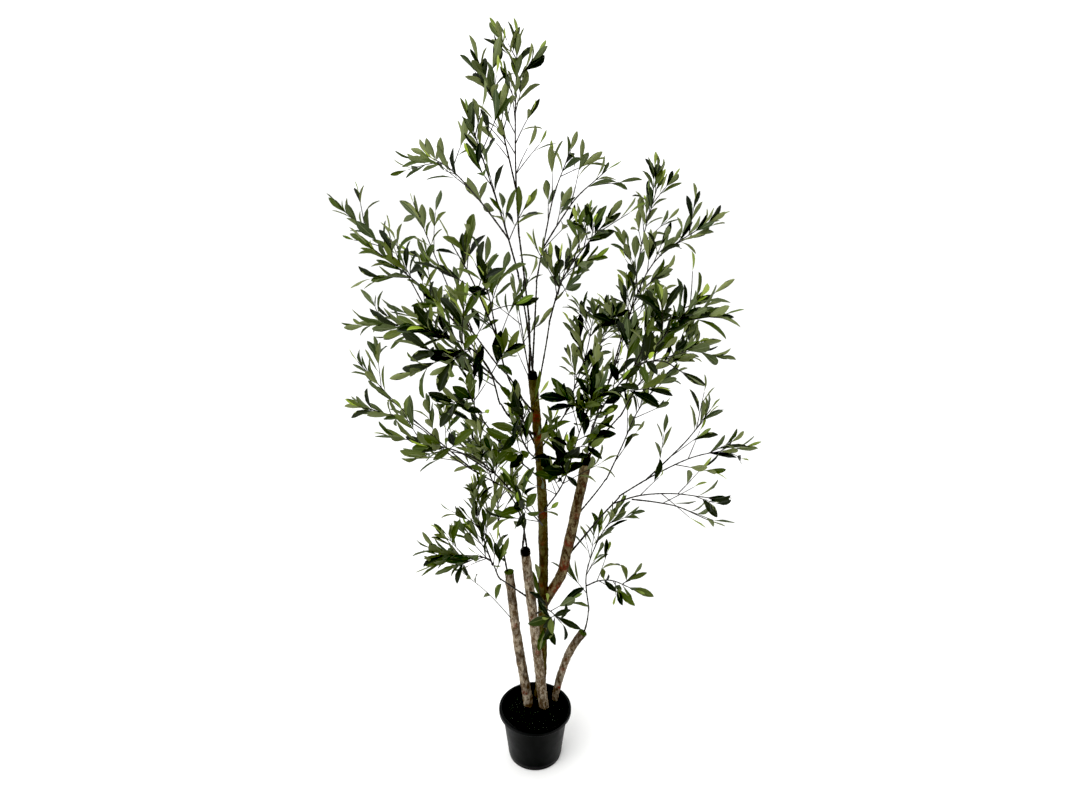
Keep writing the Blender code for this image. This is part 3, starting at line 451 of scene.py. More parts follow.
class BarkSettings(bpy.types.PropertyGroup):
    """The bark of the natural sticks"""

    sides: IntProperty(name="Sides", description="Facets round a stick", default=56, min=8)
    spacing: length("Ring spacing", "Distance between two rings of the mesh", 0.0019)
    swell: length("Swell", "How much a stick's girth varies", 0.0012)
    lump: length("Lumps", "Height of the lumps about a centimetre across", 0.0009)
    ridge: length("Ridges", "Height of the lengthwise ridges", 0.0007)
    grain: length("Grain", "Height of the fine roughness", 0.00055)
    pale: colour("Pale bark", "Dry outer bark", "#A39783")
    mid: colour("Bark", "Bark between the pale scales", "#56442F")
    # Also laid over the furrows as painted shade, besides the weathered patches and pores.
    deep: colour("Furrows", "Bark in the furrows", "#22170D")
    rust: colour("Rust patches", "Red-brown patches where bark has come off", "#66271A")
    red: colour("Red bark", "Bark of the fork", "#3F2B1B")
    ochre: colour("Red bark scales", "Greyish scales on the red bark", "#7D7152")
    trunk: colour("Trunk bark", "Bark of the main trunk", "#44341A")
    trunk_scale: colour("Trunk bark scales", "Greenish scales on the main trunk", "#5C5830")


class CapSettings(bpy.types.PropertyGroup):
    """Putty on the sawn ends"""

    putty: colour("Putty", "Colour of the dark putty", "#12100D")
    moss: colour("Mossy putty", "Colour of the flocked green putty", "#414F24")


class WireSettings(bpy.types.PropertyGroup):
    """Coated wire boughs, stems and twigs"""

    slimness: FloatProperty(
        name="Bough slimness", description="Radius of a bough against its solid's",
        default=0.80, min=0.1, max=1,
    )
    stem_foot: length("Stem radius", "Radius at the foot of a spray's stem", 0.0019)
    stem_tip: length("Stem tip radius", "Radius at the tip of a spray's stem", 0.0010)
    twig_foot: length("Twig radius", "Radius at the foot of a twig", 0.00116)
    twig_tip: length("Twig tip radius", "Radius at the tip of a twig", 0.00067)
    node_spacing: length("Node spacing", "Distance between two bumps on the wire", 0.0140)
    coat: colour("Coating", "Colour of the plastic coating", "#17130D")
    # Its speckles are partly painted highlights, standing for the glints along the wire.
    wear_and_glint: colour("Worn coating", "Colour of its paler speckles", "#463D2F")


class LeafSettings(bpy.types.PropertyGroup):
    """Cloth leaves"""

    length: length("Leaf length", "Length of a usual leaf", 0.0575)
    width: length("Leaf width", "Width of a usual leaf", 0.0165)
    thickness: length("Thickness", "Thickness at the midrib", 0.0006)
    spacing: length("Pair spacing", "Distance between two pairs of leaves on a shoot", 0.0205)
    old: colour("Old leaf", "Upper face of a dark old leaf", "#171D0F")
    grown: colour("Grown leaf", "Upper face of a grown leaf", "#384519")
    dusty: colour("Dusty leaf", "Upper face of a greyish olive leaf", "#485229")
    young: colour("Young leaf", "Upper face of a young leaf", "#788C32")
    under: colour("Underside", "Underside of a grown leaf", "#5E6646")
    under_young: colour("Young underside", "Underside of a young leaf", "#808E4A")


class StageSettings(bpy.types.PropertyGroup):
    """Floor, light and camera"""

    floor: colour("Floor", "Colour of the floor", "#FAFAF9")
    sky: FloatProperty(
        name="Surround", description="Brightness of the white surround", default=1.38, min=0
    )
    front: FloatProperty(
        name="Front", description="Brightness of the surround toward the camera", default=0.25, min=0
    )
    black: FloatProperty(
        name="Black level", description="Brightness that is shown as black", default=0.014, min=0
    )
    key: FloatProperty(
        name="Key light", description="Power of the main soft light", default=80, min=0, unit="POWER"
    )


# ---------------------------------------------------------------- curves and limbs, as in the solids
def smooth(points):
    """Catmull-Rom curve through the points."""
    points = [Vector(point) for point in points]
    ends = [points[0] * 2 - points[1], *points, points[-1] * 2 - points[-2]]
    curve = []
    for a, b, c, d in zip(ends, ends[1:], ends[2:], ends[3:]):
        for step in range(SPAN_STEPS):
            t = step / SPAN_STEPS
            bend = a * 2 - b * 5 + c * 4 - d
            twist = b * 3 - a - c * 3 + d
            curve.append((b * 2 + (c - a) * t + bend * t**2 + twist * t**3) / 2)
    return curve + [points[-1]]


def spread(curve, count):
    """The curve again, as count stations equally far apart."""
    lengths = [0.0]
    for a, b in zip(curve, curve[1:]):
        lengths.append(lengths[-1] + (b - a).length)
    return [point_at(curve, lengths, index / (count - 1)) for index in range(count)]


def point_at(curve, lengths, share):
    """The point at a share of a curve's length; lengths says how far along each station lies."""
    goal = share * lengths[-1]
    span = min(max(int(np.searchsorted(lengths, goal)) - 1, 0), len(curve) - 2)
    part = (goal - lengths[span]) / (lengths[span + 1] - lengths[span])
    return curve[span].lerp(curve[span + 1], part)


def tangent(curve, index):
    """The direction of a curve at one of its stations; -1 stands for the last."""
    index %= len(curve)
    return (curve[min(index + 1, len(curve) - 1)] - curve[max(index - 1, 0)]).normalized()


def reach_of(curve):
    """How long a curve is."""
    return sum((b - a).length for a, b in zip(curve, curve[1:]))


def square_to(vector, along):
    """The part of a vector at right angles to along, as a unit vector."""
    return (vector - along * vector.dot(along)).normalized()


class Limb:
    """A curve with a radius and a sideways direction at each station. A mere line has no radius."""

    def __init__(self, curve, foot_radius=0.0, tip_radius=0.0, foot_axis=None):
        last = len(curve) - 1
        self.curve = curve
        self.foot_axis = foot_axis or tangent(curve, 0)  # what the flat foot is square to
        self.radii = [foot_radius + (tip_radius - foot_radius) * index / last for index in range(last + 1)]
        self.across = [tangent(curve, 0).orthogonal().normalized()]
        self.lengths = [0.0]
        for index in range(1, last + 1):
            self.across.append(square_to(self.across[-1], tangent(curve, index)))
            self.lengths.append(self.lengths[-1] + (curve[index] - curve[index - 1]).length)

    def at(self, share):
        """Point, direction, sideways direction and radius at a share of the length."""
        point = point_at(self.curve, self.lengths, share)
        before = point_at(self.curve, self.lengths, max(share - AIM, 0))
        after = point_at(self.curve, self.lengths, min(share + AIM, 1))
        along = (after - before).normalized()
        nearest = round(share * (len(self.curve) - 1))
        radius = self.radii[0] + (self.radii[-1] - self.radii[0]) * share
        return point, along, square_to(self.across[nearest], along), radius

    def socket(self, share, bearing, toward):
        """Where a smaller limb is plugged in, GAP clear of this one, and the way it comes out."""
        point, along, _, radius = self.at(share)
        if bearing is not None:
            turn = math.radians(bearing)
            seat = Vector((math.cos(turn), math.sin(turn), 0))
            return point + square_to(seat, along) * SEAT_RADIUS + along * GAP, along
        if share == 1:
            return point + along * GAP, along
        outward = square_to(toward - point, along)
        return point + outward * (radius + GAP), outward


def grown_from(parent, share, bearing, way, stations, foot_radius, tip_radius):
    """A limb that comes straight out of its socket on the parent and then follows the way points."""
    foot, out = parent.socket(share, bearing, Vector(way[0]))
    curve = [foot] + spread(smooth([foot + out * (foot_radius + ROOT_STRETCH), *way]), stations - 1)
    return Limb(curve, foot_radius, tip_radius, out)


def limbs_of_tree():
    """Every stick, cap and bough, by name."""
    limbs = {}
    for stick in STICKS:
        foot = Vector(stick.way[0]) + UP * GAP
        curve = spread(smooth([foot, *stick.way[1:]]), STICK_STATIONS)
        limbs[stick.name] = Limb(curve, stick.foot_radius, stick.top_radius, UP)
    fork = RIGHT_FORK
    limbs[fork.name] = grown_from(
        limbs["main_trunk"], FORK_SHARE, None, fork.way, STICK_STATIONS + 1, fork.foot_radius, fork.top_radius
    )
    for name in CAPPED:
        end, along, _, radius = limbs[name].at(1)
        foot = end + along * GAP
        wide = radius + CAP_OVERHANG
        limbs[name + "_cap"] = Limb([foot, foot + along * CAP_HEIGHT], wide, wide)
    for bough in BOUGHS:
        limbs[bough.name] = grown_from(
            limbs[bough.parent], bough.share, bough.bearing, bough.way, BOUGH_STATIONS, bough.radius,
            bough.radius * BOUGH_TAPER,
        )
    return limbs


# ---------------------------------------------------------------- room for the sprays
LIMB, STEM, TWIG, FINE, LEAF = range(5)
NO_SPRAY = -1


class Space:
    """Every limb, stem, twig and leaf as a round-ended rod, to keep the sprays apart."""

    def __init__(self):
        self.a = np.zeros((MOST_RODS, 3))
        self.b = np.zeros((MOST_RODS, 3))
        self.radius = np.zeros(MOST_RODS)
        self.spray = np.zeros(MOST_RODS, int)
        self.kind = np.zeros(MOST_RODS, int)
        self.count = 0

    def add(self, curve, radii, spray, kind):
        for a, b, radius in zip(curve, curve[1:], radii):
            self.a[self.count], self.b[self.count], self.radius[self.count] = a, b, radius
            self.spray[self.count], self.kind[self.count] = spray, kind
            self.count += 1

    def nearest(self, a, b, keep):
        """Distance from rod a-b to each kept rod's surface; keep tests the rods' sprays and kinds."""
        chosen = np.flatnonzero(keep(self.spray[: self.count], self.kind[: self.count]))
        if not len(chosen):
            return FAR
        gaps = rod_gaps(np.array(a), np.array(b), self.a[chosen], self.b[chosen])
        return float((gaps - self.radius[chosen]).min())


def rod_gaps(a, b, c, d):
    """Shortest distances between the segment a-b and many segments c-d."""
    u, v, w = b - a, d - c, a - c
    uu, uv, vv = u @ u, v @ u, (v * v).sum(1)
    uw, vw = w @ u, (v * w).sum(1)
    crossing = np.maximum(uu * vv - uv * uv, TINY)
    s = np.clip((uv * vw - vv * uw) / crossing, 0, 1)
    t = np.clip((uv * s + vw) / np.maximum(vv, TINY), 0, 1)
    s = np.clip((uv * t - uw) / max(uu, TINY), 0, 1)
    return np.linalg.norm(w + s[:, None] * u - t[:, None] * v, axis=1)


# ---------------------------------------------------------------- sprays, as in the solids
def stems_of(spray, limbs):
    """The spray's stem, and its side stem if it has one."""
    parent = limbs[spray.parent]
    stems = [grown_from(parent, spray.share, None, spray.way, STEM_STATIONS, STEM_RADIUS, STEM_TIP_RADIUS)]
    if spray.side:
        start, along, _, _ = stems[0].at(SIDE_STEM_SHARE)
        tip = Vector(spray.side)
        middle = (start + tip) / 2 + along * (tip - start).length * SIDE_STEM_BOW
        curve = spread(smooth([start, middle, tip]), STEM_STATIONS - 1)
        stems.append(Limb(curve, STEM_RADIUS * SIDE_STEM_SLIMNESS, STEM_TIP_RADIUS))
    return stems


def flat_azimuth(index, sides):
    """Where the middle of a limb's flat faces, round its axis."""
    return FIRST_CORNER + (index + 0.5) * math.tau / sides


def turned_away(along, across, angle, azimuth):
    """A direction at an angle to along, on the side that azimuth gives."""
    side = across.copy()
    side.rotate(Quaternion(along, azimuth))
    return (along * math.cos(angle) + side * math.sin(angle)).normalized()


def twig_curve(start, direction, length):
    """A straight twig, tilted a little upward."""
    bent = (direction + UP * TWIG_LIFT).normalized()
    return [start, start + bent * length]


def twigs_of(number, spray, stems, space, rng):
    """Twigs that step round the stems from flat to flat. One that meets a limb is turned or left out."""
    twigs = []
    total = sum(stem.lengths[-1] for stem in stems)
    for stem in stems:
        count = max(FEWEST_TWIGS, round(spray.twigs * stem.lengths[-1] / total))
        turn = rng.randrange(STEM_SIDES)
        for index in range(count):
            share = spray.bare + (LAST_TWIG - spray.bare) * (index + 0.5) / count
            start, along, across, _ = stem.at(share)
            tapering = TWIG_FOOT_LENGTH + (TWIG_TIP_LENGTH - TWIG_FOOT_LENGTH) * share
            reach = spray.reach * rng.uniform(*TWIG_LENGTHS) * tapering
            angle = TWIG_ANGLE * rng.uniform(*TWIG_ANGLES)
            for attempt in range(STEM_SIDES):
                azimuth = flat_azimuth(turn + index * TWIG_STEP + attempt, STEM_SIDES)
                curve = twig_curve(start, turned_away(along, across, angle, azimuth), reach)
                if has_room(curve, TWIG_RADIUS, number, space):
                    twigs.append(Limb(curve, TWIG_RADIUS, TWIG_TIP_RADIUS))
                    space.add(curve, [TWIG_RADIUS], number, TWIG)
                    break
    return twigs


def has_room(curve, radius, number, space):
    """Whether a rod clears every limb and every other spray, and ends nearer its own stem than another's."""
    for a, b in zip(curve, curve[1:]):
        if space.nearest(a, b, lambda spray, kind: spray != number) < radius + CLEAR:
            return False
    end = curve[-1]
    own = space.nearest(end, end, lambda spray, kind: (kind == STEM) & (spray == number))
    others = space.nearest(end, end, lambda spray, kind: (kind == STEM) & (spray != number))
    return own < others + SPACE_SLACK


# ---------------------------------------------------------------- finer twigs and leaves
Run = namedtuple("Run", "curve foot_radius tip_radius")
Shoot = namedtuple("Shoot", "limb number dress kept first_leaf")
Leaf = namedtuple("Leaf", "root direction normal length width bend twist wave tone shade")


def nearest_on(curve, point):
    """Which station of a curve lies nearest to a point."""
    return min(range(len(curve)), key=lambda index: (curve[index] - point).length_squared)


def distance_to(curve, point):
    """How far a point lies from the nearest station of a curve."""
    return (curve[nearest_on(curve, point)] - point).length


def run_in(limb, parent, share, bearing, skipped):
    """A limb's curve made smooth and run on into what carries it.

    Where it leaves a side it does so at a slant, without the solid's first stations, and a short one is
    straight.
    """
    if bearing is not None or share == 1:
        return [limb.curve[0] - limb.foot_axis * PLUG_DEPTH, *smooth(limb.curve)]
    root = parent.at(share)[0]
    if limb.lengths[-1] < SHORT_BOUGH:
        return spread([root, limb.curve[-1]], len(limb.curve))
    return smooth([root, *limb.curve[skipped:]])


def stem_lines(spray, stems, limbs):
    """The stems' curves, run on into what carries them and drawn out a little at their tips."""
    lines = [run_in(stems[0], limbs[spray.parent], spray.share, None, STEM_SKIPPED)]
    lines += [smooth(stem.curve) for stem in stems[1:]]
    return [[*line, line[-1] + tangent(line, -1) * STEM_EXTENSION] for line in lines]


def bowed(start, end, along, bow):
    """A shoot's curve: it leaves its stem leaning forward and comes round to its own direction."""
    reach = (end - start).length
    middle = (start + end) / 2 + along * reach * bow
    return smooth([start, middle, end])


def kept_at(dress, share):
    """The share of its leaves that a twig keeps, by how far up its stem it stands."""
    return dress.kept * (dress.low + (1 - dress.low) * share)


def shoot_from(drawn, start, end, along, number, dress, rng):
    """A leafy shoot that leaves the drawn stem nearest to start."""
    foot = nearest_on(drawn, start)
    curve = bowed(drawn[foot], end, along, SHOOT_BOW * rng.uniform(*SHOOT_BOWS))
    return Shoot(Limb(curve), number, dress, kept_at(dress, foot / (len(drawn) - 1)), FIRST_LEAF)


def shoots_on(number, spray, dress, stems, drawn, twigs, space, rng):
    """The leafy shoots of a spray: its twigs drawn out, finer twigs between them, and the stems' own tips."""
    shoots = []
    for twig in twigs:
        start, end = twig.curve
        stem = min(range(len(stems)), key=lambda index: distance_to(drawn[index], start))
        along = stems[stem].at(0.5)[1]
        reached = end + (end - start).normalized() * SHOOT_EXTENSION
        shoots.append(shoot_from(drawn[stem], start, reached, along, number, dress, rng))
    for stem, curve in zip(stems, drawn):
        shoots += fine_twigs_on(number, spray, dress, stem, curve, len(twigs) / len(stems), space, rng)
        shoots.append(Shoot(Limb(curve), number, dress, dress.kept, FIRST_LEAF_ON_STEM))
    return shoots


def fine_twigs_on(number, spray, dress, stem, drawn, twigs, space, rng):
    """Finer twigs that fill in between a stem's twigs, within the spray's reach."""
    shoots = []
    count = round(dress.fine * twigs)
    for index in range(count):
        share = FIRST_FINE_TWIG + (LAST_TWIG - FIRST_FINE_TWIG) * (index + rng.random()) / count
        start, along, across, _ = stem.at(share)
        reach = spray.reach * TWIG_LENGTHS[1] * rng.uniform(*FINE_TWIG_LENGTHS)
        direction = turned_away(along, across, FINE_TWIG_ANGLE, rng.uniform(0, math.tau))
        curve = twig_curve(start, direction, reach)
        if has_room(curve, TWIG_TIP_RADIUS, number, space):
            space.add(curve, [TWIG_TIP_RADIUS], number, FINE)
            shoots.append(shoot_from(drawn, start, curve[1], along, number, dress, rng))
    return shoots


def leaves_on(shoot, space, cut, rng):
    """Pairs of leaves up a shoot, each pair crosswise to the last, and one leaf that ends it."""
    leaves = []
    leafy = shoot.limb.lengths[-1] * (1 - shoot.first_leaf)
    pairs = max(1, round(leafy / cut.spacing))
    turn = rng.uniform(0, math.tau)
    places = [(LAST_LEAF, turn, True)]
    for pair in range(pairs):
        share = shoot.first_leaf + (LAST_LEAF - shoot.first_leaf) * (pair / pairs) ** LEAF_CROWDING
        turn += LEAF_NEXT_TURN + rng.uniform(-LEAF_TURN_PLAY, LEAF_TURN_PLAY)
        places += [(share, turn + side * math.pi, False) for side in range(2) if rng.random() < shoot.kept]
    for share, azimuth, ends_it in places:
        leaf = leaf_with_room(shoot, share, azimuth, ends_it, space, cut, rng)
        if leaf:
            leaves.append(leaf)
            tip = leaf.root + leaf.direction * leaf.length
            space.add([leaf.root, tip], [leaf.width * LEAF_CORE], shoot.number, LEAF)
    return leaves


def leaf_with_room(shoot, share, azimuth, ends_it, space, cut, rng):
    """A leaf, turned round its shoot until it clears the limbs and the other leaves, or None."""
    root, along, across, _ = shoot.limb.at(share)
    place = (share - shoot.first_leaf) / (1 - shoot.first_leaf)
    tone = tone_of(place, shoot.dress, rng)
    angle = LEAF_FOOT_ANGLE + (LEAF_TIP_ANGLE - LEAF_FOOT_ANGLE) * place
    angle = LEAF_END_ANGLE if ends_it else angle * rng.uniform(*LEAF_ANGLES)
    size = shoot.dress.size * rng.uniform(*LEAF_SIZES) * (LEAF_FOOT_SIZE - LEAF_SIZE_LOSS * place)
    size *= YOUNG_SIZE if tone == "young" else 1
    width = cut.width * size * rng.uniform(*LEAF_WIDTHS) * BREADTHS[tone]
    roll = rng.uniform(-LEAF_ROLL, LEAF_ROLL)
    bend = rng.gauss(*LEAF_BEND)
    twist = rng.uniform(-LEAF_TWIST, LEAF_TWIST)
    wave = rng.uniform(0, math.tau)
    # A brightness for the leaf, partly painted light and shade.
    shade = rng.random()
    for attempt in range(LEAF_TRIES):
        direction = turned_away(along, across, angle, azimuth + attempt * LEAF_RETRY_TURN)
        direction = (direction + UP * LEAF_LIFT).normalized()
        normal = square_to(along if angle > LEAF_ALONG_SHOOT else across, direction)
        normal.rotate(Quaternion(direction, roll))
        leaf = Leaf(root, direction, normal, cut.length * size, width, bend, twist, wave, tone, shade)
        if leaf_has_room(leaf, space):
            return leaf
    return None


def tone_of(place, dress, rng):
    """Old leaves stand low on a shoot and young ones at its tip."""
    if place > YOUNG_FROM and rng.random() < YOUNG_SHARE:
        return "young"
    # The spray's dark share, partly painted shade, sets how many leaves are old.
    if rng.random() < dress.dark * (DARK_AT_FOOT - DARK_LOSS * place):
        return "old"
    return "grown" if rng.random() < GROWN_SHARE else "dusty"


def leaf_has_room(leaf, space):
    """Whether a leaf clears the limbs, isn't laid on another leaf and stays in the solids' box."""
    tip = leaf.root + leaf.direction * leaf.length
    low, high = CAD_BOX
    if any(tip[axis] < low[axis] - BOX_PLAY or tip[axis] > high[axis] + BOX_PLAY for axis in range(3)):
        return False
    outer = leaf.root.lerp(tip, LEAF_FREE_FROM)
    if space.nearest(outer, tip, lambda spray, kind: kind == LIMB) < leaf.width * LEAF_OFF_LIMBS:
        return False
    return space.nearest(outer, tip, lambda spray, kind: kind == LEAF) > LEAF_GAP


def side_twig(limbs):
    """One more twig, low on the outer side of the left stick, with a few leaves of the spray above it."""
    start, along, _, _ = limbs["left_stick"].at(SIDE_TWIG_SHARE)
    number = SPRAY_NAMES.index(SIDE_TWIG_SPRAY)
    curve = bowed(start, SIDE_TWIG_TIP, along, SHOOT_BOW)
    return Shoot(Limb(curve), number, DRESSES[SIDE_TWIG_SPRAY], SIDE_TWIG_KEPT, FIRST_LEAF)


def hides_trunk(leaf, trunk):
    """Whether a leaf is left out before the trunk, where the crown is parted and the trunk shows."""
    middle = leaf.root + leaf.direction * leaf.length / 2
    axis = min(trunk.curve, key=lambda point: abs(point.z - middle.z))
    parted = abs(middle.x - axis.x) < PARTING_WIDTH / 2 and middle.y < axis.y
    upper = PARTED_FROM < middle.z < trunk.curve[-1].z + PARTED_ABOVE
    return parted and upper and leaf.wave < PARTED_SHARE * math.tau


Cut = namedtuple("Cut", "length width spacing")
Growth = namedtuple("Growth", "limbs stems shoots leaves")


def growth():
    """The tree as it grows with the present leaf sizes. It grows again only when these change."""
    leaf = bpy.context.scene.olive_tree.leaf
    return grown_with(Cut(leaf.length, leaf.width, leaf.spacing))


@lru_cache(maxsize=1)
def grown_with(cut):
    """Grows the whole tree: limbs by name, the stems' curves, leafy shoots, and leaves."""
    limbs, space = limbs_of_tree(), Space()
    for limb in limbs.values():
        space.add(limb.curve, limb.radii, NO_SPRAY, LIMB)
    stems = [stems_of(spray, limbs) for spray in SPRAYS]
    for number, pair in enumerate(stems):
        for stem in pair:
            space.add(stem.curve, stem.radii, number, STEM)
    twigs = [
        twigs_of(number, spray, stems[number], space, random.Random(spray.name + " twigs"))
        for number, spray in enumerate(SPRAYS)
    ]
    lines = [stem_lines(spray, pair, limbs) for spray, pair in zip(SPRAYS, stems)]
    shoots = []
    for number, spray in enumerate(SPRAYS):
        dress = DRESSES[spray.name]
        rng = random.Random(spray.name + " fine twigs")
        shoots += shoots_on(number, spray, dress, stems[number], lines[number], twigs[number], space, rng)
    shoots.append(side_twig(limbs))
    leaves = []
    for index, shoot in enumerate(shoots):
        leaves += leaves_on(shoot, space, cut, random.Random(f"{SPRAYS[shoot.number].name} leaves {index}"))
    leaves = [leaf for leaf in leaves if not hides_trunk(leaf, limbs["main_trunk"])]
    return Growth(limbs, lines, shoots, leaves)


# ---------------------------------------------------------------- meshes
def finish_piece(piece, slot, *nodes):
    """Ties a piece to the frame: its body, and hides the solids that it stands for. The slot is not used."""
    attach(piece, BODY)
    if nodes:
        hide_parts(*nodes)
    return piece


def add_mesh(name, mesh, *materials):
    """A piece from a mesh. It takes the place of one of that name, so that an operator can be run again."""
    old = bpy.data.objects.get(name)
    if old:
        bpy.data.objects.remove(old, do_unlink=True)
    for material in materials:
        mesh.materials.append(material)
    piece = bpy.data.objects.new(name, mesh)
    bpy.context.scene.collection.objects.link(piece)
    return piece


def mesh_from(name, bm, crease=None):
    """A mesh from a bmesh, shaded smooth except at edges that fold more than crease."""
    mesh = bpy.data.meshes.new(name)
    bm.to_mesh(mesh)
    bm.free()
    mesh.shade_smooth()
    if crease:
        mesh.set_sharp_from_angle(angle=crease)
    return mesh


def frames_along(curve):
    """Points of a curve with the directions across and upright at each, carried along without twisting."""
    points = np.array(curve)
    along = np.gradient(points, axis=0)
    along /= np.linalg.norm(along, axis=1)[:, None]
    across = np.empty_like(points)
    side = np.array(Vector(along[0]).orthogonal().normalized())
    for index, way in enumerate(along):
        side = side - way * (side @ way)
        side /= np.linalg.norm(side)
        across[index] = side
    return points, across, np.cross(along, across)


NODE_SWELL = 0.26  # how much thicker a wire is at a node
NODE_WIDTH = 0.14  # how long the bump is, as a share of the distance between two
NODE_WANDER = 0.35  # how unevenly the nodes lie, as a share of that distance
NODE_WAVES = 2.3
NODE_SHIFT = 0.5  # how far one wire's nodes are shifted against another's
WIRE_END = 0.5  # radius of a wire's last ring, as a share of what its taper gives
WIRE_CREASE = math.radians(75)


def wire_radii(run, share, reach, node_spacing, first):
    """Radius at each station: tapering, with a bump at every node. first tells one wire from the next."""
    radii = run.foot_radius + (run.tip_radius - run.foot_radius) * share
    place = share * reach / node_spacing
    place = place + NODE_WANDER * np.sin(place * NODE_WAVES + first) + NODE_SHIFT * math.sin(first)
    radii = radii * (1 + NODE_SWELL * np.exp(-((((place % 1) - 0.5) / NODE_WIDTH) ** 2)))
    radii[-1] *= WIRE_END
    return radii


def tube_faces(first, rings, sides):
    """Faces of a tube closed at both ends, whose rings of points are numbered from first."""
    at = first + np.arange(rings - 1)[:, None] * sides
    here, then = np.arange(sides)[None], (np.arange(sides)[None] + 1) % sides
    quads = np.stack([at + here, at + then, at + sides + then, at + sides + here], axis=-1)
    last = first + (rings - 1) * sides
    ends = [list(range(first, first + sides))[::-1], list(range(last, last + sides))]
    return quads.reshape(-1, 4).tolist() + ends


def joined_tubes(name, runs, sides, spacing, node_spacing):
    """Many thin wires in one mesh, each closed at both ends."""
    verts, faces, first = [], [], 0
    turns = np.arange(sides) * math.tau / sides
    cosines, sines = np.cos(turns)[None, :, None], np.sin(turns)[None, :, None]
    for run in runs:
        reach = reach_of(run.curve)
        count = max(3, round(reach / spacing) + 1)
        points, across, upright = frames_along(spread(run.curve, count))
        radii = wire_radii(run, np.linspace(0, 1, count), reach, node_spacing, first)
        ring = across[:, None] * cosines + upright[:, None] * sines
        verts.append((points[:, None] + ring * radii[:, None, None]).reshape(-1, 3))
        faces += tube_faces(first, count, sides)
        first += count * sides
    mesh = bpy.data.meshes.new(name)
    mesh.from_pydata(np.concatenate(verts).tolist(), [], faces)
    mesh.shade_smooth()
    mesh.set_sharp_from_angle(angle=WIRE_CREASE)
    return mesh


def tube(curve, radii, sides):
    """A closed tapering limb: a capped circle, extruded from station to station."""
    points, across, upright = (list(map(Vector, rows)) for rows in frames_along(curve))
    bm = bmesh.new()
    places = []
    for point, side, up, radius in zip(points, across, upright, radii):
        turn = Matrix((side, up, side.cross(up))).transposed()
        places.append(Matrix.LocRotScale(point, turn, Vector((radius, radius, 1))))
    bmesh.ops.create_circle(bm, cap_ends=True, segments=sides, radius=1, matrix=places[0])
    bm.faces.ensure_lookup_table()
    end = bm.faces[0]
    foot = list(bm.edges)
    for before, after in zip(places, places[1:]):
        end = bmesh.ops.extrude_discrete_faces(bm, faces=[end])["faces"][0]
        bmesh.ops.transform(bm, matrix=after @ before.inverted(), verts=end.verts)
    bmesh.ops.contextual_create(bm, geom=foot)
    bmesh.ops.recalc_face_normals(bm, faces=bm.faces)
    return bm


def turned(profile, steps):
    """A closed turned shape from (radius, height) points that start and end on the axis."""
    bm = bmesh.new()
    verts = [bm.verts.new((radius, 0, height)) for radius, height in profile]
    edges = [bm.edges.new(pair) for pair in zip(verts, verts[1:])]
    bmesh.ops.spin(
        bm, geom=verts + edges, axis=UP, cent=(0, 0, 0), angle=math.tau, steps=steps, use_merge=True
    )
    bmesh.ops.remove_doubles(bm, verts=bm.verts, dist=WELD)
    bmesh.ops.recalc_face_normals(bm, faces=bm.faces)
    return bm


def arc(centre, radius, start, end, steps):
    """Points on an arc, from one angle in degrees to another."""
    turns = [math.radians(start + (end - start) * step / steps) for step in range(steps + 1)]
    return [(centre[0] + radius * math.cos(turn), centre[1] + radius * math.sin(turn)) for turn in turns]


# ---------------------------------------------------------------- materials
MIX_FACTOR, MIX_A, MIX_B, MIX_RESULT = 0, 6, 7, 2  # sockets of a Mix node that mixes colours


def feed(tree, socket, value):
    """Gives a socket its value, the output that feeds it, or the node whose first output does."""
    if isinstance(value, bpy.types.Node):
        value = value.outputs[0]
    if isinstance(value, bpy.types.NodeSocket):
        tree.links.new(value, socket)
    else:
        socket.default_value = value


def add_node(tree, kind, inputs=None, **settings):
    """Adds a shader node with its settings, and feeds its sockets, which inputs names or numbers."""
    made = tree.nodes.new("ShaderNode" + kind)
    for name, value in settings.items():
        setattr(made, name, value)
    for key, value in (inputs or {}).items():
        feed(tree, made.inputs[key], value)
    return made


def new_material(name):
    """A material of nodes, and its tree."""
    material = bpy.data.materials.new(name)
    material.use_nodes = True
    return material, material.node_tree


def surfaced(material, **inputs):
    """The material, once the sockets of its Principled shader are fed."""
    tree = material.node_tree
    for key, value in inputs.items():
        feed(tree, tree.nodes["Principled BSDF"].inputs[key.replace("_", " ")], value)
    return material


def layered(tree, base, *layers):
    """A colour with others laid over it in turn. A layer is a colour and how far it covers what is below."""
    result = rgba(base)
    for over, amount in layers:
        inputs = {MIX_FACTOR: amount, MIX_A: result, MIX_B: rgba(over)}
        result = add_node(tree, "Mix", inputs, data_type="RGBA").outputs[MIX_RESULT]
    return result


def cells_per_metre(millimetres):
    """Scale of a pattern whose cells are this wide."""
    return 1000 / millimetres


def rgba(values):
    """Red, green and blue with full opacity."""
    return (*values, 1)


def moulded_polypropylene(pot):
    """Injection-moulded polypropylene: black, satin, with a fine mould grain and a breath of dust."""
    material, tree = new_material("moulded_polypropylene")
    place = add_node(tree, "TexCoord").outputs["Object"]
    patches = {"Vector": place, "Scale": cells_per_metre(26.316), "Detail": 6, "Roughness": 0.65}
    dust = add_node(tree, "TexNoise", patches)
    amount = add_node(tree, "MapRange", {0: dust, 1: 0.50, 2: 0.80, 3: 0.0, 4: 0.45})
    rough = add_node(tree, "MapRange", {0: dust, 1: 0.3, 2: 0.8, 3: 0.36, 4: 0.58})
    # Mould grain, drawn coarser than it is, about 1 mm across, so that it shows.
    grain = add_node(tree, "TexNoise", {"Vector": place, "Scale": cells_per_metre(1.1111), "Detail": 2})
    bump = add_node(tree, "Bump", {"Strength": 0.10, "Distance": 0.0004, "Height": grain})
    tint = layered(tree, pot.plastic, (pot.dust, amount))
    return surfaced(
        material, IOR=1.49, Specular_IOR_Level=0.10, Base_Color=tint, Roughness=rough, Normal=bump
    )


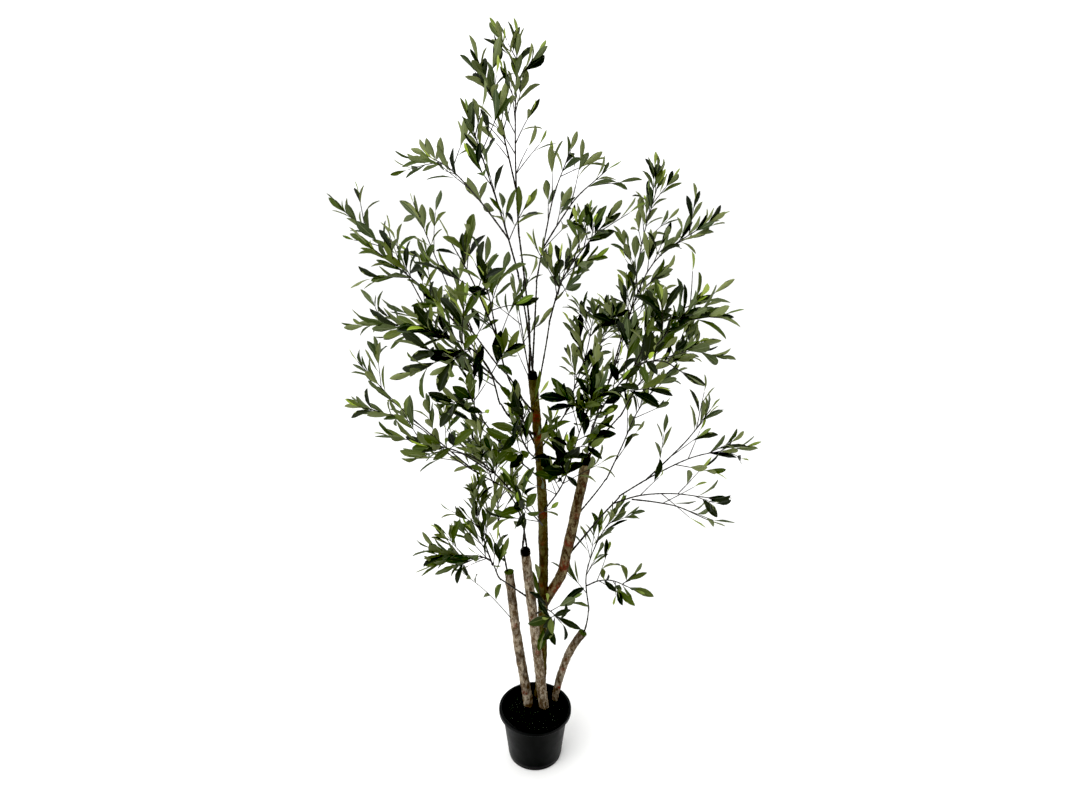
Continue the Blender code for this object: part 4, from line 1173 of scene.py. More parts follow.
def potting_crumb(fill):
    """Peat and cement crumbs over the weighted fill: matte, near black when seen from above."""
    material, tree = new_material("potting_crumb")
    place = add_node(tree, "TexCoord").outputs["Object"]
    pattern = {"Vector": place, "Scale": cells_per_metre(2.381), "Detail": 5, "Roughness": 0.7}
    crumbs = add_node(tree, "TexNoise", pattern)
    amount = add_node(tree, "MapRange", {0: crumbs, 1: 0.45, 2: 0.72})
    bump = add_node(tree, "Bump", {"Strength": 0.8, "Distance": 0.0015, "Height": crumbs})
    tint = layered(tree, fill.soil, (fill.crumb, amount))
    return surfaced(material, Roughness=0.95, Specular_IOR_Level=0.1, Base_Color=tint, Normal=bump)


def speckled(name, base, variation, patch, roughness):
    """A matte thing, such as grit, moss or putty, whose colour varies over patches of so many millimetres."""
    material, tree = new_material(name)
    place = add_node(tree, "TexCoord").outputs["Object"]
    patches = add_node(tree, "TexNoise", {"Vector": place, "Scale": cells_per_metre(patch), "Detail": 2})
    amount = add_node(tree, "MapRange", {0: patches, 1: 0.30, 2: 0.70})
    bump = add_node(tree, "Bump", {"Strength": 0.5, "Distance": 0.0006, "Height": patches})
    tint = layered(tree, [channel * (1 - variation) for channel in base], (base, amount))
    return surfaced(material, Roughness=roughness, Specular_IOR_Level=0.15, Base_Color=tint, Normal=bump)


def dried_bark(name, scale_tint, base, bark):
    """Dried bark on a natural stick: matte, with pale scales, dark weathered patches and pores, red-brown
    bare patches, and painted shade in its furrows.
    """
    material, tree = new_material(name)
    place = add_node(tree, "TexCoord").outputs["Object"]
    drawn = add_node(tree, "Mapping", {"Vector": place, "Scale": (1.0, 1.0, 0.5)}).outputs[0]
    # Scales about 1 cm across; tone changed by lichen and weather every few centimetres; dark pores 2 mm
    # apart; bare blotches. Vector, millimetres, detail, roughness, distortion, low, high and most covered.
    patterns = (
        (drawn, 9.5238, 8, 0.74, 0.5, 0.44, 0.57, 1.0),
        (place, 41.667, 2, 0.50, 0.0, 0.47, 0.60, 0.60),
        (place, 2.3256, 3, 0.60, 0.0, 0.54, 0.64, 0.75),
        (place, 29.412, 3, 0.60, 0.0, 0.62, 0.74, 0.45),
    )
    amounts = []
    for vector, width, detail, roughness, swirl, low, high, most in patterns:
        pattern = {"Vector": vector, "Scale": cells_per_metre(width), "Detail": detail}
        cells = add_node(tree, "TexNoise", pattern | {"Roughness": roughness, "Distortion": swirl})
        amounts.append(add_node(tree, "MapRange", {0: cells, 1: low, 2: high, 3: 0.0, 4: most}))
    scales, wear_and_glint, pores, blotches = amounts
    marked = add_node(tree, "Attribute", attribute_name="bare").outputs["Fac"]
    hollow = add_node(tree, "Attribute", attribute_name="hollow").outputs["Fac"]
    dark = add_node(tree, "Math", {0: wear_and_glint, 1: pores}, operation="MAXIMUM")
    rusty = add_node(tree, "Math", {0: blotches, 1: marked}, operation="MAXIMUM", use_clamp=True)
    # The furrow colour is laid a second time over the furrows, as painted shade.
    layers = (scale_tint, scales), (bark.deep, dark), (bark.rust, rusty), (bark.deep, hollow)
    # Fibres about 1 mm across, and twice as long.
    pattern = {"Vector": drawn, "Scale": cells_per_metre(1.1111), "Detail": 4, "Roughness": 0.6}
    fibres = add_node(tree, "TexNoise", pattern)
    bump = add_node(tree, "Bump", {"Strength": 0.6, "Distance": 0.0007, "Height": fibres})
    tint = layered(tree, base, *layers)
    return surfaced(material, Roughness=0.86, Specular_IOR_Level=0.2, Base_Color=tint, Normal=bump)


def coated_wire(wire):
    """Plastic-coated wire, dipped dark brown: satin, with paler speckles, partly where the dip is thin and
    partly painted highlights, the glints along the wire.
    """
    material, tree = new_material("coated_wire")
    place = add_node(tree, "TexCoord").outputs["Object"]
    pattern = {"Vector": place, "Scale": cells_per_metre(3.8462), "Detail": 3, "Roughness": 0.6}
    speckles = add_node(tree, "TexNoise", pattern)
    # Paler speckles over the coating, partly painted highlights.
    amount = add_node(tree, "MapRange", {0: speckles, 1: 0.55, 2: 0.75, 3: 0.0, 4: 0.8})
    bump = add_node(tree, "Bump", {"Strength": 0.4, "Distance": 0.0005, "Height": speckles})
    tint = layered(tree, wire.coat, (wire.wear_and_glint, amount))
    return surfaced(
        material, IOR=1.45, Roughness=0.6, Specular_IOR_Level=0.3, Base_Color=tint, Normal=bump
    )


# Red, green and blue of the darkest and of the palest leaf of a tone, against the tone's own. A leaf's shade
# sets it between them: partly the print's own spread, partly painted light and shade.
CLOTH_GAINS = (0.40, 0.50, 0.48), (1.62, 1.56, 1.20)
RIB_WIDTHS = (0.02, 0.07)  # half widths between which the midrib fades, as shares of the leaf's width
VEIN_SLANT = -0.55  # how far up the leaf a side vein runs, out to its edge
VEINS = 70.0  # radians of vein pattern from foot to tip


def printed_cloth(name, base, rib_gain):
    """Printed polyester leaf cloth: soft satin, with a paler pressed midrib, side veins, a fine weave, and
    each leaf made lighter or darker by its shade, partly as painted light and shade.
    """
    material, tree = new_material(name)
    seat = add_node(tree, "SeparateXYZ", {0: add_node(tree, "UVMap", uv_map="leaf")})
    centred = add_node(tree, "Math", {0: seat.outputs[0], 1: 0.5}, operation="SUBTRACT")
    off_rib = add_node(tree, "Math", {0: centred}, operation="ABSOLUTE")
    rib = add_node(tree, "MapRange", {0: off_rib, 1: RIB_WIDTHS[0], 2: RIB_WIDTHS[1], 3: 1.0, 4: 0.0})
    slant = add_node(tree, "Math", {0: off_rib, 1: VEIN_SLANT}, operation="MULTIPLY")
    climb = add_node(tree, "Math", {0: slant, 1: seat.outputs[1]}, operation="ADD")
    veins = add_node(tree, "Math", {0: climb, 1: VEINS}, operation="MULTIPLY")
    ridges = add_node(tree, "Math", {0: veins}, operation="SINE")
    vein = add_node(tree, "MapRange", {0: ridges, 1: 0.72, 2: 1.0, 3: 0.0, 4: 0.22})
    lines = add_node(tree, "Math", {0: rib, 1: vein}, operation="MAXIMUM")
    # Painted light and shade in part: each leaf's shade sets its colour between the darkest and the palest
    # copy of its tone.
    shade = add_node(tree, "Attribute", attribute_name="shade").outputs["Fac"]
    dark, light = ([min(channel * gain, 1) for channel, gain in zip(base, gains)] for gains in CLOTH_GAINS)
    pale = [min(channel * rib_gain + 0.01, 1) for channel in base]
    tint = layered(tree, dark, (light, shade), (pale, lines))
    place = add_node(tree, "TexCoord").outputs["Object"]
    # Threads lie about 0.25 mm apart, drawn at 0.8 mm so that they show.
    weave = add_node(tree, "TexNoise", {"Vector": place, "Scale": cells_per_metre(0.8), "Detail": 1})
    height = add_node(tree, "Math", {0: weave, 1: lines}, operation="ADD")
    bump = add_node(tree, "Bump", {"Strength": 0.35, "Distance": 0.0003, "Height": height})
    return surfaced(
        material, Roughness=0.6, IOR=1.45, Specular_IOR_Level=0.18, Base_Color=tint, Normal=bump
    )


# ---------------------------------------------------------------- pot and fill
RECESS = 0.0010  # how far the pot's base is raised inside the ring it stands on
FOOT_RING = 0.006  # width of that ring
FOOT_GROOVE = ((0.010, -0.0002), (0.0112, 0.0004))  # heights, and how far out the wall stands there
WALL_HEIGHTS = (0.018, 0.045, 0.075, 0.105, 0.130)  # of the rings of its outer wall
RIM_FILLET = 0.0012  # radius of the fillet under the rim
POT_CREASE, FILL_CREASE = math.radians(50), math.radians(60)
LIP_ROUNDING = 0.9  # radius of the inner lip, as a share of the wall's thickness
LOW_INSIDE = 0.02  # height of one more ring inside the pot


def wall_radius(height):
    """Outer radius of the pot's wall below its rim."""
    return POT_BASE_RADIUS + (POT_SHOULDER_RADIUS - POT_BASE_RADIUS) * height / POT_HEIGHT


def pot_profile():
    """The pot's section: under its base, up the wall, over the rolled rim and down the inside."""
    lip = POT_WALL / 2
    under_rim, inner_top = POT_HEIGHT - POT_RIM_HEIGHT, POT_HEIGHT - POT_WALL
    corner, rim = POT_BASE_RADIUS - POT_CORNER, POT_RIM_RADIUS - lip
    profile = [(0, RECESS), (corner - FOOT_RING, RECESS), (corner - FOOT_RING + RECESS, 0)]
    profile += arc((corner, POT_CORNER), POT_CORNER, -90, 0, 5)
    profile += [(wall_radius(height) + out, height) for height, out in FOOT_GROOVE]
    profile += [(wall_radius(height), height) for height in WALL_HEIGHTS]
    profile += arc((wall_radius(under_rim) + RIM_FILLET, under_rim - RIM_FILLET), RIM_FILLET, 180, 90, 3)
    profile += arc((rim, under_rim + lip), lip, -90, 0, 4) + arc((rim, POT_HEIGHT - lip), lip, 0, 90, 4)
    profile += arc((wall_radius(inner_top) + RIM_FILLET, inner_top), POT_WALL * LIP_ROUNDING, 90, 180, 4)
    profile += [(wall_radius(height) - POT_WALL, height) for height in (FILL_TOP, LOW_INSIDE, POT_WALL)]
    return profile + [(0, POT_WALL)]


class OLIVE_OT_pot(bpy.types.Operator):
    """Turns the nursery pot with its rolled rim"""

    bl_idname = "olive.pot"
    bl_label = "Pot"

    def execute(self, context):
        settings = context.scene.olive_tree.pot
        mesh = mesh_from("nursery_pot", turned(pot_profile(), settings.steps), POT_CREASE)
        finish_piece(add_mesh("nursery_pot", mesh, moulded_polypropylene(settings)), "pot", "pot")
        return {"FINISHED"}


SOIL_HEAP = 0.008  # how far the top layer is heaped up round the sticks
SOIL_HEAP_RADIUS = 0.078
SOIL_DIP = 0.55  # how far the lumps' mean level lies under the fill's top, as a share of the relief
LUMPS, LUMPS_PER_METRE = 0.42, 55  # height as a share of the relief, and number
LUMP_FRACTAL = (0.9, 2.1, 4)  # dimension, lacunarity and octaves
CRUMBS, CRUMBS_PER_METRE = 0.12, 380
FILL_RINGS, FILL_STEPS = 46, 180  # of the top layer's mesh
OFF_WALL = 0.004  # how far from the wall the grit and the moss end
STONE_SIZES = (0.0006, 0.0017)
STONE_FLATNESS = ((0.7, 1.2), (0.7, 1.2), (0.45, 0.8))  # least and most along each of its axes
STONE_SEAT = 0.2  # how far its middle stands over the layer, as a share of its size
THREAD_RADIUS = 0.00035
THREAD_TIP = 0.3  # radius at its tip, as a share of that
THREAD_HALVES = (0.0015, 0.0040)  # half the length of a moss thread, least and most
THREAD_LEAN = 0.5  # half the most lean, in radians


def fill_height(x, y, relief):
    """Height of the lumpy top layer over a point of the pot."""
    place = Vector((x, y, 0))
    lumps = noise.fractal(place * LUMPS_PER_METRE, *LUMP_FRACTAL)
    crumbs = noise.noise(place * CRUMBS_PER_METRE)
    heap = SOIL_HEAP * max(1 - place.length_squared / SOIL_HEAP_RADIUS**2, 0)
    return FILL_TOP + heap - relief * SOIL_DIP + relief * (LUMPS * lumps + CRUMBS * crumbs)


def spot_on_fill(rng, edge, relief):
    """A random place on the fill, clear of the wall."""
    away = (edge - OFF_WALL) * math.sqrt(rng.random())
    turn = rng.uniform(0, math.tau)
    x, y = away * math.cos(turn), away * math.sin(turn)
    return Vector((x, y, fill_height(x, y, relief)))


def stone_place(rng, edge, relief):
    """Where an angular grain lies: squeezed and turned at random."""
    size = rng.uniform(*STONE_SIZES)
    squeeze = Vector([rng.uniform(*limits) for limits in STONE_FLATNESS]) * size
    turn = Quaternion([rng.gauss(0, 1) for _ in range(4)]).normalized()
    return Matrix.LocRotScale(spot_on_fill(rng, edge, relief) + UP * size * STONE_SEAT, turn, squeeze)


def thread_place(rng, edge, relief):
    """Where a short thread of moss stands, leaning any way."""
    lean = math.sin(THREAD_LEAN)
    turn = Quaternion((math.cos(THREAD_LEAN), lean * rng.uniform(-1, 1), lean * rng.uniform(-1, 1), 0))
    size = Vector((THREAD_RADIUS, THREAD_RADIUS, rng.uniform(*THREAD_HALVES)))
    return Matrix.LocRotScale(spot_on_fill(rng, edge, relief), turn.normalized(), size)


def strewn_mesh(name, form, places):
    """Many copies of one small form, each at its own place, in a single mesh."""
    form.verts.ensure_lookup_table()
    unit = np.array([vert.co for vert in form.verts])
    corners = [[vert.index for vert in face.verts] for face in form.faces]
    form.free()
    verts, faces = [], []
    for index, place in enumerate(places):
        matrix = np.array(place)
        verts.append(unit @ matrix[:3, :3].T + matrix[:3, 3])
        faces += [[corner + index * len(unit) for corner in face] for face in corners]
    mesh = bpy.data.meshes.new(name)
    mesh.from_pydata(np.concatenate(verts).tolist(), [], faces)
    return mesh


class OLIVE_OT_fill(bpy.types.Operator):
    """Lays the dark top layer in the pot and strews grit and moss on it"""

    bl_idname = "olive.fill"
    bl_label = "Fill, grit and moss"

    def execute(self, context):
        settings = context.scene.olive_tree.fill
        edge = wall_radius(FILL_TOP) - POT_WALL - 2 * GAP
        self.layer(edge, settings)
        rng = random.Random("strewn")
        stone, thread = bmesh.new(), bmesh.new()
        bmesh.ops.create_icosphere(stone, subdivisions=1, radius=1)
        bmesh.ops.create_cone(
            thread, cap_ends=True, segments=3, radius1=1, radius2=THREAD_TIP, depth=2
        )
        strewn = (
            ("grit", stone, stone_place, settings.grains,
             speckled("crushed_grit", settings.grit, variation=0.75, patch=6.25, roughness=0.9)),
            ("dried_moss", thread, thread_place, settings.tufts,
             speckled("dyed_moss", settings.moss, variation=0.6, patch=11.111, roughness=0.9)),
        )
        for name, form, place_of, count, material in strewn:
            places = [place_of(rng, edge, settings.relief) for _ in range(count)]
            finish_piece(add_mesh(name, strewn_mesh(name, form, places), material), "fill")
        return {"FINISHED"}

    def layer(self, edge, settings):
        """The top layer, whose upper face is divided into rings and lifted into lumps."""
        foot = POT_WALL + GAP
        profile = [(0, foot), (wall_radius(foot) - POT_WALL - 2 * GAP, foot)]
        profile += [(edge * (FILL_RINGS - ring) / FILL_RINGS, FILL_TOP) for ring in range(FILL_RINGS + 1)]
        bm = turned(profile, FILL_STEPS)
        for vert in bm.verts:
            if vert.co.z > FILL_TOP - GAP:
                vert.co.z = fill_height(vert.co.x, vert.co.y, settings.relief)
        mesh = mesh_from("fill_top", bm, FILL_CREASE)
        finish_piece(add_mesh("fill_top", mesh, potting_crumb(settings)), "fill", "fill")


# ---------------------------------------------------------------- bark
Knot = namedtuple("Knot", "share turn size height bare")

# The knots that show on each stick: share of its length, bearing in degrees, size, height, how bare it is.
KNOTS = {
    "left_stick": (
        Knot(0.13, 250, 0.011, 0.0014, 1.0), Knot(0.66, 270, 0.009, 0.0012, 0.9),
        Knot(0.93, 330, 0.013, 0.0030, 0.1), Knot(0.95, 200, 0.012, 0.0022, 0.1)),
    "front_stick": (Knot(0.40, 280, 0.010, 0.0014, 0.8), Knot(0.62, 240, 0.008, 0.0012, 0.6)),
    "right_stick": (Knot(0.20, 285, 0.010, 0.0026, 1.0), Knot(0.62, 260, 0.006, 0.0010, 0.4)),
    "right_fork": (
        Knot(0.12, 280, 0.026, 0.0010, 1.0), Knot(0.30, 270, 0.024, 0.0014, 1.0),
        Knot(0.46, 250, 0.016, 0.0010, 1.0), Knot(0.66, 290, 0.012, 0.0012, 0.7)),
    "main_trunk": (
        Knot(0.18, 260, 0.010, 0.0016, 0.7), Knot(0.40, 230, 0.012, 0.0020, 0.8),
        Knot(0.90, 270, 0.020, 0.0008, 1.0), Knot(0.84, 290, 0.018, 0.0008, 0.9),
        Knot(0.62, 280, 0.016, 0.0010, 0.8)),
}
CROTCH_DROP = 0.022  # how far below the fork's foot its axis meets the trunk's, as a share of the trunk
COLLAR_SWELL = 0.30  # how much wider the fork is where it leaves the trunk
COLLAR_REACH = 0.035
MOSSY_STICK = "left_stick"  # its cap is only a thin green layer over the bark
MOSS_HEIGHT = 0.0032
BARK_CREASE = math.radians(70)
PIMPLE_SPACING = 0.0070  # one small bump to this much of a stick's length
PIMPLE_SIZES = (0.0014, 0.0030)
PIMPLE_HEIGHTS = (0.0005, 0.0014)
PIMPLE_BARE = 0.15
KNOT_REACH = 0.030  # a knot lifts no bark further off than this
KNOT_WIDTH = 0.6  # how broad its lump is, as a share of its size
BARE_SPREAD = 1.6  # how much further its bare patch goes than its lump
BARE_SHARE, BARE_BREAKS = 0.55, 1.1  # how bare a patch is on the whole, and how much it is broken up
SWELLS, LUMPS_ON_BARK, RIDGES, GRAINS, BREAKS = 17, 85, 190, 330, 210  # cells of each relief per metre
RIDGE_FRACTAL = (0.8, 2.2, 3)  # dimension, lacunarity and octaves
RIDGE_STRETCH = 0.28  # the ridges' cells are drawn out along the stick by this
FURROW_GAIN, FURROW_FROM, MOST_FURROW = 0.9, 0.12, 0.85  # how dark the painted shade in the furrow between two ridges gets


def pimples_on(reach, rng):
    """Many small buds and scars, strewn over a stick."""
    knots = []
    for _ in range(round(reach / PIMPLE_SPACING)):
        share, turn = rng.random(), rng.uniform(0, 360)
        size, height = rng.uniform(*PIMPLE_SIZES), rng.uniform(*PIMPLE_HEIGHTS)
        knots.append(Knot(share, turn, size, height, PIMPLE_BARE))
    return knots


def stick_curve(name, limbs):
    """A stick's smooth curve. The fork's starts in the trunk, and the mossy stick's ends under its moss."""
    limb = limbs[name]
    if name == RIGHT_FORK.name:
        crotch = limbs["main_trunk"].at(FORK_SHARE - CROTCH_DROP)[0]
        return smooth([crotch, *limb.curve[FORK_SKIPPED:]])
    curve = smooth(limb.curve)
    if name == MOSSY_STICK:
        curve.append(curve[-1] + tangent(curve, -1) * (CAP_HEIGHT - MOSS_HEIGHT))
    return curve


def stick_radii(name, limb, reach, count):
    """A stick's radius at each station. The fork is wider where it leaves the trunk."""
    shares = [index / (count - 1) for index in range(count)]
    radii = [limb.radii[0] + (limb.radii[-1] - limb.radii[0]) * share for share in shares]
    if name != RIGHT_FORK.name:
        return radii
    collar = [COLLAR_SWELL * math.exp(-((share * reach / COLLAR_REACH) ** 2)) for share in shares]
    return [radius * (1 + swell) for radius, swell in zip(radii, collar)]


def seat_of(knot, limb):
    """Where on a stick's surface a knot stands."""
    centre, along, _, radius = limb.at(knot.share)
    turn = math.radians(knot.turn)
    return centre + square_to(Vector((math.cos(turn), math.sin(turn), 0)), along) * radius


def bark_on(name, limbs, settings):
    """A stick's tube with real relief, and attributes that say how much painted shade darkens its furrows and
    where it is bare.
    """
    limb, curve = limbs[name], stick_curve(name, limbs)
    reach = reach_of(curve)
    count = round(reach / settings.spacing) + 1
    stations = spread(curve, count)
    bm = tube(stations, stick_radii(name, limb, reach, count), settings.sides)
    hollow = bm.verts.layers.float.new("hollow")
    bare = bm.verts.layers.float.new("bare")
    knots = [*KNOTS[name], *pimples_on(reach, random.Random(name + " bark"))]
    seats = np.array([seat_of(knot, limb) for knot in knots])
    bm.verts.ensure_lookup_table()
    for vert in bm.verts:
        station = vert.index // settings.sides
        outward = square_to(vert.co - stations[station], tangent(stations, station))
        place = vert.co.copy()
        place.z *= RIDGE_STRETCH
        swell = noise.noise(vert.co * SWELLS) * settings.swell
        swell += noise.noise(vert.co * LUMPS_ON_BARK) * settings.lump
        ridge = noise.fractal(place * RIDGES, *RIDGE_FRACTAL) * settings.ridge
        grain = noise.noise(vert.co * GRAINS) * settings.grain
        lift, patch = 0.0, 0.0
        away = np.linalg.norm(seats - np.array(vert.co), axis=1)
        for index in np.flatnonzero(away < KNOT_REACH):
            knot = knots[index]
            near = math.exp(-((away[index] / (knot.size * KNOT_WIDTH)) ** 2))
            lift += knot.height * near
            patch = max(patch, knot.bare * min(1.0, near * BARE_SPREAD))
        # Painted shade: the deeper a furrow between the ridges, the darker its bark is painted.
        vert[hollow] = min(max(-ridge / settings.ridge * FURROW_GAIN - FURROW_FROM, 0), MOST_FURROW)
        vert[bare] = patch * min(max(BARE_SHARE + BARE_BREAKS * noise.noise(vert.co * BREAKS), 0), 1)
        vert.co += outward * (swell + ridge + grain + lift)
    return bm


class OLIVE_OT_sticks(bpy.types.Operator):
    """Grows the bark of the trunk, its fork and the three shorter sticks"""

    bl_idname = "olive.sticks"
    bl_label = "Trunk and sticks"

    def execute(self, context):
        settings = context.scene.olive_tree.bark
        grey = dried_bark("dried_grey_bark", settings.pale, settings.mid, settings)
        red = dried_bark("dried_red_bark", settings.ochre, settings.red, settings)
        brown = dried_bark("dried_brown_bark", settings.trunk_scale, settings.trunk, settings)
        finishes = (
            ("main_trunk", brown, "red_bark"), ("right_fork", red, "red_bark"),
            ("left_stick", grey, "dry_bark"), ("front_stick", grey, "dry_bark"),
            ("right_stick", grey, "dry_bark"),
        )
        for name, material, slot in finishes:
            bm = bark_on(name, growth().limbs, settings)
            piece = add_mesh(name + "_bark", mesh_from(name + "_bark", bm, BARK_CREASE), material)
            finish_piece(piece, slot, name)
        return {"FINISHED"}


# ---------------------------------------------------------------- caps and plugs
CAP_RINGS, CAP_SIDES = 8, 28
CAP_ROUND_FROM = 0.45  # above this share of its height a cap is rounded off
CAP_ROUNDING = 2.6  # how fast it then closes
SMALLEST_CAP_END = 0.05  # least square of a ring's radius, against the cap's
CAP_MIDDLE = 0.05  # points nearer to its axis than this share of its radius are not dented
CAP_DENTS_PER_METRE, CAP_DENT = 260, 0.0009
DAB_DROP, DAB_OVERHANG = 0.001, 0.0008  # how far the dab on the right stick reaches down and out over it


def putty_lump(name, foot, along, radius, height, material):
    """A low uneven dome that starts flush with the stick."""
    shares = [ring / (CAP_RINGS - 1) for ring in range(CAP_RINGS)]
    curve = [foot + along * height * share for share in shares]
    squares = [1 - max(share - CAP_ROUND_FROM, 0) ** 2 * CAP_ROUNDING for share in shares]
    bm = tube(curve, [radius * math.sqrt(max(square, SMALLEST_CAP_END)) for square in squares], CAP_SIDES)
    for vert in bm.verts:
        outward = vert.co - foot - along * (vert.co - foot).dot(along)
        if outward.length > radius * CAP_MIDDLE:
            dent = noise.noise(vert.co * CAP_DENTS_PER_METRE)
            vert.co += outward.normalized() * dent * CAP_DENT
    return add_mesh(name, mesh_from(name, bm, BARK_CREASE), material)


class OLIVE_OT_caps(bpy.types.Operator):
    """Presses dark putty over the sawn ends and round the feet of the boughs"""

    bl_idname = "olive.caps"
    bl_label = "Putty caps"

    def execute(self, context):
        settings = context.scene.olive_tree.cap
        dark = speckled("dark_putty", settings.putty, variation=0.5, patch=3.8462, roughness=0.75)
        mossy = speckled("flocked_putty", settings.moss, variation=0.6, patch=3.3333, roughness=0.95)
        limbs = growth().limbs
        for name in CAPPED:
            cap = limbs[name + "_cap"]
            height, material = (MOSS_HEIGHT, mossy) if name == MOSSY_STICK else (CAP_HEIGHT, dark)
            foot = cap.curve[-1] - cap.foot_axis * height
            piece = putty_lump(name + "_putty", foot, cap.foot_axis, cap.radii[0], height, material)
            finish_piece(piece, "cap_putty", name + "_cap")
        end, along, _, radius = limbs["right_stick"].at(1)
        foot, wide = end - along * DAB_DROP, radius + DAB_OVERHANG
        dab = putty_lump("right_stick_putty", foot, along, wide, MOSS_HEIGHT, mossy)
        finish_piece(dab, "cap_putty")
        return {"FINISHED"}


# ---------------------------------------------------------------- wire
BOUGH_SIDES, BOUGH_RING = 12, 0.0020  # facets round the wire, and the distance between two rings
STEM_WIRE_SIDES, STEM_RING = 7, 0.0032
TWIG_SIDES, TWIG_RING = 5, 0.0040
DIPS_PER_METRE, DIP = 420, 0.00035  # unevenness of the coating on the boughs


class OLIVE_OT_wires(bpy.types.Operator):
    """Draws the coated wire: boughs with relief, then every stem and twig"""

    bl_idname = "olive.wires"
    bl_label = "Boughs and twigs"

    def execute(self, context):
        settings = context.scene.olive_tree.wire
        grown = growth()
        material = coated_wire(settings)
        for bough in BOUGHS:
            limb = grown.limbs[bough.name]
            curve = run_in(limb, grown.limbs[bough.parent], bough.share, bough.bearing, BOUGH_SKIPPED)
            run = Run(curve, limb.radii[0] * settings.slimness, limb.radii[-1] * settings.slimness)
            name = bough.name + "_wire"
            mesh = joined_tubes(name, [run], BOUGH_SIDES, BOUGH_RING, settings.node_spacing)
            for vert in mesh.vertices:
                vert.co += vert.normal * noise.noise(vert.co * DIPS_PER_METRE) * DIP
            finish_piece(add_mesh(name, mesh, material), "coated_wire", bough.name)
        stems = [Run(line, settings.stem_foot, settings.stem_tip) for lines in grown.stems for line in lines]
        twigs = [
            Run(shoot.limb.curve, settings.twig_foot, settings.twig_tip)
            for shoot in grown.shoots if shoot.first_leaf == FIRST_LEAF
        ]
        wires = (
            ("spray_stems", stems, STEM_WIRE_SIDES, STEM_RING), ("spray_twigs", twigs, TWIG_SIDES, TWIG_RING)
        )
        for name, runs, sides, spacing in wires:
            mesh = joined_tubes(name, runs, sides, spacing, settings.node_spacing)
            finish_piece(add_mesh(name, mesh, material), "coated_wire", *SPRAY_NAMES)
        return {"FINISHED"}


# ---------------------------------------------------------------- leaves
def leaf_points(leaves, thickness):
    """Points of every leaf: one at its foot, one ring of points to each row, and one at its tip."""
    rows = np.array((0.0, *LEAF_ROWS, 1.0))
    side, top = np.array(LEAF_ACROSS), np.array(LEAF_SIDE)
    outline = np.array((0.0, *LEAF_OUTLINE, 0.0))
    names = [name for name in Leaf._fields if name != "tone"]
    root, along, up, length, breadth, bends, twist, wave, _ = (
        np.array([getattr(leaf, name) for leaf in leaves]) for name in names
    )
    across = np.cross(along, up)
    width = np.maximum(breadth[:, None] * outline[None], LEAF_STALK_WIDTH)[:, :, None]
    bend = bends[:, None] * rows[None]
    rate = np.where(np.abs(bends) < STRAIGHT, STRAIGHT, bends)[:, None]
    reach = length[:, None] * np.sin(bend) / rate
    drop = -length[:, None] * (1 - np.cos(bend)) / rate
    half = width / 2 * side
    waves = np.sin(rows[None, :, None] * LEAF_WAVES + wave[:, None, None])
    ripple = LEAF_RIPPLE * width / 2 * side**2 * waves
    height = np.abs(side) * width / 2 * LEAF_FOLD + ripple + top * thickness / 2
    turn = (twist[:, None] * (rows[None] - TWIST_FROM))[:, :, None]
    sideways = half * np.cos(turn) - height * np.sin(turn)
    lifted = half * np.sin(turn) + height * np.cos(turn)
    # The cross-section stands square to the bent midrib.
    forward = reach[:, :, None] + lifted * np.sin(bend)[:, :, None]
    upward = drop[:, :, None] + lifted * np.cos(bend)[:, :, None]
    moves = (along, forward), (across, sideways), (up, upward)
    points = sum((way[:, None, None] * share[..., None] for way, share in moves), root[:, None, None])
    feet, tips = (points[:, end].mean(axis=1, keepdims=True) for end in (0, -1))
    return np.concatenate([feet, points[:, 1:-1].reshape(len(leaves), -1, 3), tips], axis=1)


def leaf_faces():
    """Faces of one leaf, which of them are underneath, and each point's place on the cloth."""
    ring, rows = len(LEAF_ACROSS), len(LEAF_ROWS)
    tip = 1 + ring * rows
    faces, under = [], []
    for span in range(ring):
        following = (span + 1) % ring
        faces.append((0, 1 + following, 1 + span))
        for row in range(rows - 1):
            here, above = 1 + row * ring, 1 + (row + 1) * ring
            faces.append((here + span, here + following, above + following, above + span))
        last = 1 + (rows - 1) * ring
        faces.append((last + span, last + following, tip))
        under += [span >= TOP_SPANS] * (rows + 1)
    cloth = [(0.5, 0.0)]
    cloth += [((across + 1) / 2, row) for row in LEAF_ROWS for across in LEAF_ACROSS]
    return faces, under, cloth + [(0.5, 1.0)]


def joined_leaves(name, leaves, thickness):
    """All the leaves of one tone in one mesh, with cloth coordinates and for each leaf a shade, a brightness
    that is partly painted light and shade.
    """
    points = leaf_points(leaves, thickness)
    faces, under, cloth = leaf_faces()
    each = points.shape[1]
    mesh = bpy.data.meshes.new(name)
    every = [[corner + index * each for corner in face] for index in range(len(leaves)) for face in faces]
    mesh.from_pydata(points.reshape(-1, 3).tolist(), [], every)
    mesh.polygons.foreach_set("material_index", np.tile(np.array(under, np.int32), len(leaves)))
    corners = np.empty(len(mesh.loops), np.int32)
    mesh.loops.foreach_get("vertex_index", corners)
    uv = mesh.uv_layers.new(name="leaf")
    uv.data.foreach_set("uv", np.array(cloth)[corners % each].astype(np.float32).ravel())
    shade = mesh.attributes.new("shade", "FLOAT", "POINT")
    shade.data.foreach_set("value", np.repeat([leaf.shade for leaf in leaves], each).astype(np.float32))
    mesh.shade_smooth()
    mesh.set_sharp_from_angle(angle=LEAF_CREASE)
    return mesh


